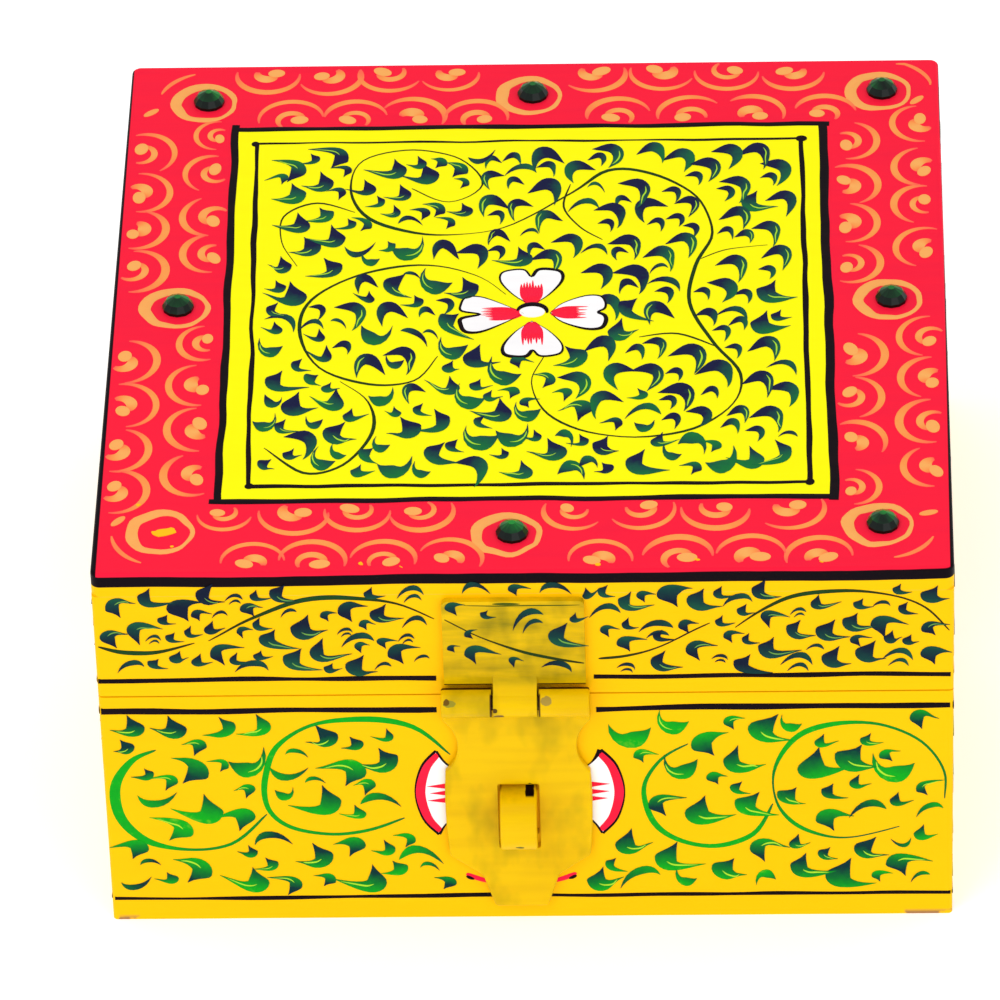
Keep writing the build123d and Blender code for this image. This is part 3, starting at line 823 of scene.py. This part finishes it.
def draw_vines(paint, vines, seed, mirror=1):
    """Returns the points of the drawn lines, so that leaves keep clear of them."""
    drawn = []
    for i, (points, thick) in enumerate(vines):
        points = [(u * mirror, v) for u, v in points]
        path = wavy(smooth(points, 6), 0.25, seed + i)
        widths = [max(0.16, w * (0.75 + 0.9 * drift(u, v, 0.06, seed + i)))
                  for w, (u, v) in zip(swell(len(path), 0.2, thick, 0.6), path)]
        tones = [min(0.72, max(0.0, w / 1.6 + 0.1)) for w in widths]
        paint.stroke(path, widths, tones)
        drawn += path[::2]
    return drawn


def top_leaf(u, v, rng):
    """The kind of leaf at a place on the field, and how it lies: kind, angle, flip and rise."""
    if u > -8 and v > 12 - 0.5 * u or (u > 8 and v > -40 and v > -24 - 0.4 * u and u + v > -14):
        flip = 1 if u > 24 else rng.choice((-1, 1))
        return rng.choice(("claw",) * 8 + ("crescent", "fish")), rng.uniform(-24, 14), flip, 1
    if v > 18:
        return rng.choice(("fish",) * 6 + ("crescent",)), rng.uniform(-14, 10), -1, rng.choice((1, 1, -1))
    if u < -30 and v > 2:
        return "fish", rng.uniform(-16, 8), -1, rng.choice((1, 1, -1))
    if u < -6 and v > -20:
        kind = rng.choice(("bowl", "claw", "claw", "fish", "fish", "crescent"))
        return kind, rng.uniform(-34, 4), rng.choice((-1, 1)), 1
    if u < -4:
        kind = rng.choice(("bowl", "bowl", "fish", "fish", "fish", "claw"))
        return kind, rng.uniform(-30, 12), rng.choice((-1, 1, 1)), 1
    kind = rng.choice(("fish", "fish", "fish", "bowl"))
    return kind, rng.uniform(-16, 16), rng.choice((-1, -1, 1)), rng.choice((1, -1))


def draw_top_pattern():
    rng = random.Random(7)
    vines = Paint(TOP, 0.08)
    lines = draw_vines(vines, TOP_VINES, 30.0)
    vines.build("top_vines", "lid", "vine")
    leaves = Paint(TOP, 0.1)
    flower = [FLOWER] + arc(FLOWER, 5.0, 5.0, 0, 315, 7) + arc(FLOWER, 10.0, 10.0, 0, 345, 23)
    region = (-46.2, 46.6, -47.0, 46.6)
    clear_of = [(lines, 2.1), (flower, 3.2)]
    fill_field(leaves, rng, region, clear_of, (4.75, 6.7), (2.9, 3.5), top_leaf, TOP_TALL)
    leaves.build("top_leaves", "lid", "leaf")


def draw_swirl(paint, rng, at, angle, size):
    """A round dab, a hook that curls away from it and a long arc round both; before turning, the arc
    bulges towards +v and the dab is at its open side."""
    turn = rng.choice((-1, 1))

    def put(path):
        return moved([(u * turn, v) for u, v in path], at, angle, size)

    def mark(path, thin, thick, lean, core):
        tones = [core * (0.15 + 0.85 * sin(pi * k / (len(path) - 1))) for k in range(len(path))]
        paint.stroke(put(path), swell(len(path), thin * size, thick * size, 0.8, lean), tones)

    def curl(centre, near, far, start, end, steps):
        """An arc whose radius runs from near to far."""
        return [(centre[0] + r * cos(a), centre[1] + 0.92 * r * sin(a)) for r, a in
                ((near + (far - near) * k / steps, radians(start + (end - start) * k / steps))
                 for k in range(steps + 1))]

    wide, tilt = rng.uniform(0.24, 0.32), rng.uniform(-24, 30)
    dab = moved([(wide * cos(radians(a)), 0.2 * sin(radians(a))) for a in range(0, 360, 20)],
                (-0.24, -0.26), tilt)
    paint.fill(put(dab), [1.0] * len(dab), lift=0.02)
    if rng.random() < 0.55:
        mark(curl((-0.04, -0.24), 0.34, 0.5, 176, rng.uniform(-50, -10), 16), 0.08, rng.uniform(0.2, 0.28),
             0.45, 0.85)
    else:
        mark(curl((0.0, -0.24), 0.26, 0.38, 150, rng.uniform(-40, 0), 14), 0.14, rng.uniform(0.36, 0.46),
             0.5, 1.0)
    start = rng.uniform(170, 200)
    mark(curl((0.0, -0.18), 0.98, 1.02, start, start - rng.uniform(150, 195), 22), 0.05,
         rng.uniform(0.2, 0.27), rng.uniform(0.35, 0.65), 0.72)


def draw_corner_marks(paint, rng, stone):
    """A thin arc and a dab in the corner beyond a stone."""
    u, v = stone
    away = degrees(atan2(v, u)) + rng.uniform(-6, 6)
    path = arc(stone, 9.4, 9.4, away - rng.uniform(26, 36), away + rng.uniform(14, 30), 12)
    path = [(max(-73.4, min(73.4, a)), max(-73.4, min(73.4, b))) for a, b in path]
    paint.stroke(path, swell(len(path), 0.3, 0.95, 0.7), [0.45] * len(path))
    dab = moved(arc((0, 0), 1.7, 0.7, 0, 340, 17), (copysign(70.8, u), v - copysign(3.0, v)),
                rng.uniform(10, 50))
    paint.fill(dab, [0.8] * len(dab))


BESIDE_STONE = 7.2                        # a row of swirls keeps this far from a stone's middle
SWIRL_PITCH = 11.8
SWIRL_ROWS = ((4.4, 180, -0.2), (15.9, 0, 0.22))      # inset from the edge, facing, and shift in pitches


def draw_border():
    """Orange swirls in two rows round the red border, and a ring round every stone."""
    rng = random.Random(19)
    swirls = Paint(TOP, 0.05)
    stones = STONES + [LOST_STONE]
    for side in range(4):
        along_side = sorted(p[0] for p in moved(stones, (0, 0), -90 * side) if p[1] > 50)
        for start, end in zip(along_side, along_side[1:]):
            start, end = start + BESIDE_STONE, end - BESIDE_STONE
            count = round((end - start) / SWIRL_PITCH)
            step = (end - start) / count
            for inset, facing, shift in SWIRL_ROWS:
                for k in range(count):
                    local = (start + step * (k + 0.5 + shift) + rng.uniform(-0.5, 0.5),
                             half - inset + rng.uniform(-0.4, 0.4))
                    at = moved([local], (0, 0), 90 * side)[0]
                    size = min(rng.uniform(5.5, 6.2), min(dist(at, p) for p in stones) - 6.2)
                    draw_swirl(swirls, rng, at, facing + 90 * side + rng.uniform(-20, 20), size)
    for stone in stones:
        if abs(stone[0]) > 50 and abs(stone[1]) > 50:
            draw_corner_marks(swirls, rng, stone)
    for i, (u, v) in enumerate(stones):
        path = wavy(arc((u - 0.5 + rng.uniform(-0.3, 0.3), v - 0.3), 5.5, 5.3, 0, 350, 35), 0.5, i * 3.0, 0.3)
        widths = [1.6 - 0.7 * cos(radians(10 * k + 25)) + 0.4 * drift(a, b, 0.3, i)
                  for k, (a, b) in enumerate(path)]
        swirls.stroke(path, widths, [0.95] * len(path), closed=True)
    swirls.build("border_swirls", "lid", "swirl")
    spots = Paint(TOP, 0.09)
    u, v = LOST_STONE
    spots.fill(wavy(arc((u - 0.3, v - 0.4), 2.3, 1.3, 0, 340, 17), 1.3, 4.0, 0.5))
    for a, b, r in ((u - 5.0, v + 7.5, 0.5), (u + 1.5, v - 4.2, 0.45), (-28.0, -72.6, 0.6),
                    (13.2, -73.4, 0.5), (-21.0, -73.6, 0.45), (30.5, -72.2, 0.4), (52.0, -73.2, 0.35)):
        spots.fill(wavy(arc((a, b), r, r * 0.7, 0, 330, 11), 0.4, a, 0.9))
    spots.build("glue_and_drips", "lid", "glue")


draw_field()
draw_border()
draw_top_pattern()
draw_top_flower()


# ---- The sides: bands of leaves between black lines ----
LID_LINE, BASE_TOP_LINE, BASE_LOW_LINE = 55.6, 48.4, 5.0
SIDE_TALL = 1.2
SIDE_FLOWER = (-1.7, 29.2)

# Vines on the lid's front and on the base's front, listed one by one; the other sides wear them mirrored
LID_VINES = [
    ([(-74.4, 63.4), (-70, 62), (-64, 62), (-57.5, 64)], 1.0),
    ([(-55, 64.5), (-48, 69), (-39.5, 73), (-31, 74), (-22, 72.5), (-15.4, 69)], 0.9),
    ([(13, 59.6), (18, 60.4), (24, 62.6), (32.5, 67.5)], 0.9),
    ([(37, 66.5), (42, 70.7), (48, 73.6), (56, 74.6), (64, 73.4), (70, 70.4), (74.2, 65.5)], 0.8),
]
LEAF_VINE = ([(-13.6, 69.6), (-8, 66), (-1, 62.6), (5, 60.8), (10.4, 59.8)], 0.7)
BASE_VINES = [
    ([(-65.5, 39.5), (-70, 37), (-73, 31), (-72.4, 24), (-68, 18.5), (-61, 16.4), (-53, 17.6),
      (-46.5, 24.5)], 1.7),
    ([(-22, 23.5), (-29, 20.4), (-36, 19.8), (-42.4, 21.4), (-46.2, 26), (-46.6, 32.5), (-44, 40), (-38, 45),
      (-29, 46.3), (-20, 44.4), (-13.4, 38)], 1.4),
    ([(28.5, 40), (23.4, 36.4), (20.4, 30), (21.6, 22.6), (26, 18), (33, 16.3), (39.6, 19), (43.2, 26)], 1.6),
    ([(65.5, 20.4), (58, 18.2), (52.4, 18.4), (47, 21.4), (43.8, 26.6), (43.4, 33.4), (47, 41), (54, 44.4),
      (62, 44.2), (69.6, 40), (73.4, 33), (73.6, 27)], 1.5),
]


def side_line(paint, v, width, seed, gaps=()):
    """A black line along a side, drawn by hand, that stops at the hasp or a hinge."""
    start = -half + 0.4
    for gap_start, gap_end in list(gaps) + [(half - 0.4, None)]:
        count = max(4, int((gap_start - start) / 3))
        straight = [(start + (gap_start - start) * k / count, v) for k in range(count + 1)]
        path = wavy(straight, 0.45, seed, 0.05)
        paint.stroke(path, [max(0.4, w) for w in uneven(path, width, 0.45, seed)])
        start = gap_end


def draw_side_flower(white, red, black, roots):
    """Four white petals like shields, with red streaks, a red rim and black outlines. Each starts at
    its root, so that the middle round the staple stays yellow on the front."""
    rng = random.Random(5)
    for angle, long, root in zip((0, 180, 90, 270), (1.0, 0.98, 0.97, 1.08), roots):
        tip, corner = 18.6 * long, (14.6 * long, 9.6)
        side = smooth([(1.4, 0.5), (7.0 * long, 3.0), (12.4 * long, 6.2), corner], 6)
        side = [(u, v) for u, v in side if u >= root]
        bow = 17.3 * long
        rim = smooth([corner, (bow, 6.0), (tip, 0.0), (bow, -6.0), (corner[0], -corner[1])], 6)
        other = [(u, -v) for u, v in reversed(side)]

        def put(path):
            return moved(path, SIDE_FLOWER, angle)

        white.fill(put(side[:-1] + rim + other[1:]))
        red.stroke(put([(u - 0.8 * cos(radians(6 * v)), v * 0.95) for u, v in rim]),
                   swell(len(rim), 0.5, 2.0, 0.4))
        black.stroke(put([(u + 0.1, v * 1.01) for u, v in rim]), [0.24 + 0.3 * abs(v) / 9.6 for u, v in rim])
        heavy = 1.9 if angle == 0 else 0.9
        black.stroke(put(side), [0.2 + heavy * max(0.0, (k + 1) / len(side) - 0.5) for k in range(len(side))])
        black.stroke(put(other), [0.5 - 0.3 * k / len(other) for k in range(len(other))])
        for v in (-1.5, 0.1, 1.8):
            reach, start = tip * rng.uniform(0.76, 0.9), root + 0.5
            middle = (start + reach) / 2
            red.fill(put([(start, v * 0.6 - 0.5), (middle, v - 0.75), (reach, v), (middle, v + 0.6),
                          (start, v * 0.6 + 0.5)]))


def draw_bands(name):
    """The lid's band and the base's band of one side: black lines, vines and leaves."""
    face, seed = SIDES[name], 3.0 + 11.0 * list(SIDES).index(name)
    rng = random.Random(int(seed))
    front, mirror = name == "front", 1 if name in ("front", "back") else -1
    metal_at = {"front": ((hasp_x, hasp_half),), "back": ((-HINGE_X, HINGE_HALF), (HINGE_X, HINGE_HALF))}
    gaps = [(x - wide - 0.8, x + wide + 0.8) for x, wide in metal_at.get(name, ())]
    # Places that the leaves keep clear of, as (points, distance): metal, the hasp's leaf and the flower
    blocked = [([(u, v) for u in range(int(a), int(b) + 1, 2) for v in range(38, 68, 2)], 2.4)
               for a, b in gaps]
    leaf = [([(hasp_x + u, v) for u in (-12, -6, 0, 6, 12) for v in (58, 63, 68, 72)], 4.4)] if front else []
    petals = [SIDE_FLOWER] + [p for r in (4, 8, 12, 16, 19.5) for p in arc(SIDE_FLOWER, r, r, 0, 345, 23)]
    petals += [(hasp_x + u, 9.4) for u in (-9.5, -6.5, 6.5, 9.5) if front]

    def draw_lines(name_start, body, *black_lines):
        lines = Paint(face, 0.08)
        for line in black_lines:
            side_line(lines, *line)
        lines.build(f"{name_start}_{name}", body, "black")

    def draw_plants(part, body, vines, vine_look, vine_seed, vine_gap, leaf_look, region, clear_of, *leaf_rules):
        """Vines, and leaves in the region. The leaf rules are the last arguments of fill_field."""
        stems, leaves = Paint(face, 0.07), Paint(face, 0.09)
        drawn = []
        for group in vines:
            drawn += draw_vines(stems, group, vine_seed, mirror)
        stems.build(f"{part}_vines_{name}", body, vine_look)
        fill_field(leaves, rng, region, [(drawn, vine_gap)] + clear_of + blocked, *leaf_rules, SIDE_TALL)
        leaves.build(f"{part}_leaves_{name}", body, leaf_look)

    draw_lines("lid_line", "lid", (LID_LINE, 1.05, seed, gaps))
    region = (-half + 3.0, half - 3.2, LID_LINE + 2.2, top_z - 4.6)
    draw_plants("lid", "lid", [LID_VINES] if front else [LID_VINES, [LEAF_VINE]], "vine", seed, 1.7, "dark_leaf",
                region, leaf, (4.9, 6.0), (3.0, 3.2), lid_leaf)
    draw_lines("base_lines", "box", (BASE_TOP_LINE, 1.35, seed + 2, gaps), (BASE_LOW_LINE, 0.85, seed + 4))
    region = (-half + 3.6, half - 3.6, BASE_LOW_LINE + 3.0, BASE_TOP_LINE - 3.0)
    draw_plants("base", "box", [BASE_VINES], "bright", seed + 5, 2.8, "bright",
                region, [(petals, 3.2)], (6.4, 7.8), (3.9, 4.0), base_leaf)


def draw_side(name):
    """One side of the box: its two bands, and the flower over them."""
    draw_bands(name)
    front, face = name == "front", SIDES[name]
    white, red, black = Paint(face, 0.05), Paint(face, 0.09), Paint(face, 0.11)
    draw_side_flower(white, red, black, (8.2, 8.2, 8.2, 12.6) if front else (1.6, 1.6, 1.6, 1.6))
    for side in (-1, 1) if front else ():
        rim = smooth([(hasp_x + 9.8 * side, 10.2), (hasp_x + 8.0 * side, 9.2), (hasp_x + 5.4 * side, 8.2)], 5)
        red.stroke(rim, swell(len(rim), 0.4, 1.1, 0.6))
        black.stroke([(u, v - 0.5) for u, v in rim[:5]], swell(5, 0.3, 0.9, 0.6))
    for paint, what, look in ((white, "white", "white"), (red, "red", "red"), (black, "outline", "black")):
        paint.build(f"side_flower_{what}_{name}", "box", look)


def lid_leaf(u, v, rng):
    """Kind, angle, flip and rise of a leaf on the lid's sides: noses to the left, tails to the right."""
    kind = rng.choice(("fish",) * 8 + ("crescent", "pair"))
    rise = rng.choice((1, 1, -1)) if kind == "fish" else 1
    return kind, rng.uniform(-14, 10), 1, rise


def base_leaf(u, v, rng):
    """On the base the noses point away from the corner at the left, and towards the middle at the right."""
    kind = rng.choice(("fish",) * 9 + ("crescent", "bowl"))
    return kind, rng.uniform(-16, 14), -1 if u < 0 else 1, rng.choice((1, 1, 1, -1))


# Strokes on the hasp's leaf, and on the lid's front above it: kind, place, size, angle, flip, rise
HASP_STROKES = [
    ("fish", (-12.0, 72.3), 3.3, 4, 1, -1), ("fish", (-6.2, 70.9), 2.6, -6, 1, 1),
    ("pair", (0.9, 69.8), 6.2, 18, 1, 1), ("fish", (7.2, 65.9), 6.2, -10, 1, 1),
    ("fish", (9.3, 70.1), 2.7, 18, 1, 1), ("fish", (-9.2, 66.5), 2.4, 16, 1, -1),
    ("fish", (-12.4, 63.3), 2.1, 10, 1, -1), ("fish", (-7.9, 61.9), 5.4, -6, 1, -1),
    ("fish", (-1.5, 60.2), 2.7, -14, 1, -1), ("crescent", (6.0, 58.9), 5.4, -20, 1, 1),
]
ABOVE_STROKES = [("crescent", (-8.2, 75.4), 5.0, 6, -1, 1), ("fish", (-1.0, 75.4), 3.2, -4, 1, -1),
                 ("crescent", (5.6, 75.4), 5.6, 4, -1, 1), ("fish", (11.6, 74.6), 3.0, 40, 1, 1)]


def draw_strokes(paint, rng, strokes):
    for kind, at, size, angle, flip, rise in strokes:
        draw_leaf(paint, rng, kind, at, size, angle, flip, rise, rng.uniform(-0.1, 0.1), SIDE_TALL)


def draw_hasp_leaf():
    """The lid's pattern runs on over the hasp's leaf, through half-dry olive smears."""
    rng = random.Random(23)
    vine, leaves, smears = Paint(LEAF, 0.05), Paint(LEAF, 0.07), Paint(LEAF, 0.03)
    draw_vines(vine, [LEAF_VINE], 61.0)
    vine.build("hasp_leaf_vine", "lid", "vine", "painted_metal")
    draw_strokes(leaves, rng, HASP_STROKES)
    leaves.build("hasp_leaf_leaves", "lid", "dark_leaf", "painted_metal")
    crease = wavy([(hasp_x - 8.4 + 20 * k / 20, leaf_high.z - 0.9) for k in range(21)], 0.2, 71.0)
    smears.stroke(crease, swell(21, 0.08, 0.26, 0.4), [0.1] * 21)
    smudge = wavy([(hasp_x - 3.6 + 5.0 * k / 10, leaf_high.z - 0.5) for k in range(11)], 0.3, 72.0)
    smears.stroke(smudge, swell(11, 0.1, 0.6, 0.7), [0.0] * 11)
    smears.build("hasp_leaf_smears", "lid", "olive", "painted_metal")
    above = Paint(SIDES["front"], 0.09)
    draw_strokes(above, rng, ABOVE_STROKES)
    above.build("lid_leaves_above_hasp", "lid", "dark_leaf")


for side_name in SIDES:
    draw_side(side_name)
draw_hasp_leaf()


# ---- The jack: cloth sleeve over a spring, collar, face, hair and cap ----
SLEEVE_FOOT, SLEEVE_TOP = (29.4, 8.7), (24.2, 29.0)   # radius and height of the sleeve's hems
SLEEVE_RADIUS = 27.0                      # to the middle of the pleats
PLEATS, PLEAT_DEPTH = 16, 2.3
CLOTH = 0.13                              # half the cloth's thickness


def turns(size):
    """The angles of a ring's points."""
    return [2 * pi * k / size for k in range(size)]


def upright(radius, a, z):
    """A point round the upright axis, from millimetres to metres."""
    return radius * cos(a) * MM, radius * sin(a) * MM, z * MM


def share_of_lift(piece, replaced):
    """Bakes the piece's place into its mesh, and hides the model's part that it stands in for."""
    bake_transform(piece)
    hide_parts(replaced)


def make_sleeve():
    (r0, z0), (r1, z1) = SLEEVE_FOOT, SLEEVE_TOP
    steps, sides = PLEATS * 6, 72
    profile = []
    for i in range(steps + 1):
        t = i / steps
        fade = min(1.0, 14 * t, 14 * (1 - t))
        hem = (r0 if t < 0.5 else r1) - SLEEVE_RADIUS
        fold = -cos(2 * pi * PLEATS * t) * PLEAT_DEPTH * fade
        profile.append((SLEEVE_RADIUS + hem * (1 - fade) + fold, z0 + (z1 - z0) * t))
    points = []
    for i, (r, z) in enumerate(profile):
        before, after = profile[max(i - 1, 0)], profile[min(i + 1, steps)]
        dr, dz = after[0] - before[0], after[1] - before[1]
        long = hypot(dr, dz)
        fade = min(1.0, i / 8, (steps - i) / 8)
        for side in (CLOTH, -CLOTH):
            for a in turns(sides):
                around = Vector((cos(a) * 2.2, sin(a) * 2.2, i * 0.045))
                radius = r + dz / long * side + 0.35 * noise(around) * fade
                height = z - dr / long * side + 0.3 * noise(around + Vector((7, 0, 0))) * fade
                points.append(upright(radius, a, height))
    faces = []
    for i in range(2 * steps):
        faces += band(i * sides, (i + 2) * sides, sides)
    for i in (0, 2 * steps):
        faces += band(i * sides, (i + 1) * sides, sides)
    sleeve = place("sleeve_cloth", points, faces, None, "sleeve", "sleeve_cloth")
    share_of_lift(sleeve, "jack_sleeve")


def make_spring():
    low, high = box_mm("jack_spring")
    wire, radius, coils, segments, sides = 0.8, 19.0, 10, 28, 8
    count = coils * segments
    foot, top = low.z + wire, high.z - wire
    points, shares = [], []
    for i in range(count + 1):
        t = i / count
        a = 2 * pi * coils * t
        z = foot + (top - foot) * t
        for b in turns(sides):
            points.append(upright(radius + wire * cos(b), a, z + wire * sin(b)))
        shares += [min(1.0, max(0.0, (t * coils - 0.75) / (coils - 1.5)))] * sides
    faces = [face for i in range(count) for face in band(i * sides, (i + 1) * sides, sides)]
    faces += [tuple(range(sides)), tuple(count * sides + k for k in range(sides))]
    spring = place("spring_coil", points, faces, None, "spring", "spring_steel")
    share_of_lift(spring, "jack_spring")


def make_collar():
    """A gathered strip of cotton round the neck, with a green hem."""
    folds, sides, rings = 20, 240, 12
    inner, outer = 5.3, 18.0
    points, tones, faces = [], [], []
    for layer in (CLOTH, -CLOTH):
        for i in range(rings + 1):
            t = i / rings
            r = inner + (outer - inner) * t
            for a in turns(sides):
                wobble = noise(Vector((cos(a) * 2, sin(a) * 2, 4.0)))
                wave = sin(folds * a + 1.3 * wobble) * (0.25 + 1.35 * t ** 0.8)
                z = 32.6 + 1.9 * t + wave + 0.4 * wobble * t
                points.append(upright(r, a, z + layer))
                tones.append(1.0 if t > 0.88 else 0.0)
    size = (rings + 1) * sides
    for first in (0, size):
        for i in range(rings):
            faces += band(first + i * sides, first + (i + 1) * sides, sides)
    for i in (0, rings):
        faces += band(i * sides, size + i * sides, sides)
    collar = place("collar_ruffle", points, faces, "jack", "collar", "collar_cloth", tones=tones)
    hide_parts("jack_collar")


def on_ball(radius, a, b):
    """A point on a ball round the head's middle: a turns it from the front and b raises it."""
    return Vector((radius * sin(a) * cos(b), -radius * cos(a) * cos(b),
                   head_z + radius * sin(b))) * MM


def on_head(u, v, h):
    """A point on the face: u across and v up from the middle of the ball's front, along its surface."""
    return on_ball(head_radius + h, u / head_radius, v / head_radius)


def ball_fill(paint, u, v, across, up):
    """A round dab on the head, in rings so that it follows the ball."""
    full = paint.height
    steps = ((0, -0.3), (1.0, -0.15), (1.0, full * 0.5), (0.66, full), (0.33, full), (0.04, full))
    rings = [[paint.face(u + across * scale * cos(a), v + up * scale * sin(a), h) for a in turns(24)]
             for scale, h in steps]
    paint.ring_strip(rings, [0.5] * len(rings))


def make_face():
    """A plain painted doll's face: round eyes, pink cheeks and a small smile."""
    white, dark, blue, blush, mouth, shine = (Paint(on_head, h) for h in (0.10, 0.16, 0.13, 0.05, 0.10, 0.19))
    for side in (-1, 1):
        u, v = 5.4 * side, -0.9
        ball_fill(white, u, v, 1.75, 2.0)
        ball_fill(blue, u - 0.1 * side, v - 0.1, 1.1, 1.3)
        ball_fill(dark, u - 0.1 * side, v - 0.1, 0.55, 0.7)
        ball_fill(shine, u + 0.35, v + 0.55, 0.24, 0.26)
        lid = arc((u, v), 1.85, 2.15, 18, 162, 12)
        dark.stroke(lid, swell(len(lid), 0.12, 0.42, 0.6))
        ball_fill(blush, 8.2 * side, -5.2, 2.3, 2.0)
    smile = smooth([(-4.0, -6.6), (-2.6, -7.9), (0, -8.5), (2.6, -7.9), (4.0, -6.6)], 6)
    mouth.stroke(smile, swell(len(smile), 0.2, 0.75, 0.6))
    for name, paint, look in (("eye_whites", white, "white"), ("eye_colour", blue, "eye"),
                              ("face_lines", dark, "dark"), ("cheeks", blush, "blush"),
                              ("smile", mouth, "red"), ("eye_shine", shine, "white")):
        paint.build(name, "jack", look, "face_paint")


def tube(points, faces, path, radius, sides=7):
    """Adds a round cord along a path, with closed ends."""
    first, last = len(points), len(path) - 1
    for i, p in enumerate(path):
        way = (path[min(i + 1, last)] - path[max(i - 1, 0)]).normalized()
        side = way.orthogonal().normalized() if i == 0 else (side - way * side.dot(way)).normalized()
        other = way.cross(side)
        points += [p + (side * cos(b) + other * sin(b)) * radius for b in turns(sides)]
    for i in range(last):
        faces += band(first + i * sides, first + (i + 1) * sides, sides)
    faces += [tuple(start + k for k in range(sides)) for start in (first, first + last * sides)]


def make_hair_and_cap():
    rng = random.Random(31)
    points, faces = [], []
    turn = 52.0
    while turn < 308:
        low = rng.uniform(-30, -22)
        path = [on_ball(head_radius + 0.35 + 0.25 * sin(k * 1.1 + turn),
                        radians(turn + 1.6 * sin(k * 0.8 + turn)),
                        radians(low + (10 - low) * k / 14)) for k in range(15)]
        tube(points, faces, path, rng.uniform(0.72, 0.9) * MM)
        turn += rng.uniform(4.2, 5.2)
    place("yarn_hair", points, faces, "jack", "hair", "cap_felt")

    points, faces = [], []
    cap_low, cap_high = box_mm("jack_cap")
    felt_radius = hypot((cap_high.x - cap_low.x) / 2, cap_low.z - head_z)
    for turn in range(15, 375, 60):
        path = [on_ball(felt_radius + 0.02, radians(turn), radians(22 + 4.2 * k)) for k in range(15)]
        tube(points, faces, path, 0.28 * MM)
    place("cap_seams", points, faces, "jack", "brim", "brim_felt")


make_sleeve()
make_spring()
make_collar()
make_face()
make_hair_and_cap()


# ---- Stage ----
def make_stage():
    mesh = bpy.data.meshes.new("floor")
    reach = 3.0
    corners = [(x * reach, y * reach, 0) for x, y in ((-1, -1), (1, -1), (1, 1), (-1, 1))]
    mesh.from_pydata(corners, [], [(0, 1, 2, 3)])
    white = (1, 1, 1, 1)
    mesh.materials.append(Graph("floor_white").finish((0.97, 0.97, 0.97, 1.0), 0.7, Emission_Color=white,
                                                      Emission_Strength=0.3))
    add("floor", mesh)
    world = bpy.data.worlds.new("world")
    world.use_nodes = True
    sky = world.node_tree.nodes["Background"].inputs
    sky[0].default_value, sky[1].default_value = white, 0.87
    bpy.context.scene.world = world
    for name, at, size, power in (("key", (-0.5, -0.7, 1.1), 0.5, 3.4), ("fill", (0.7, -0.9, 0.6), 0.8, 1.6)):
        data = bpy.data.lights.new(name, "AREA")
        data.size, data.energy = size, power
        lamp = add(name, data)
        lamp.location = at
        lamp.rotation_euler = (Vector((0, 0, 0.04)) - Vector(at)).to_track_quat("-Z", "Y").to_euler()
    bpy.context.scene.view_settings.view_transform = "Standard"


make_stage()
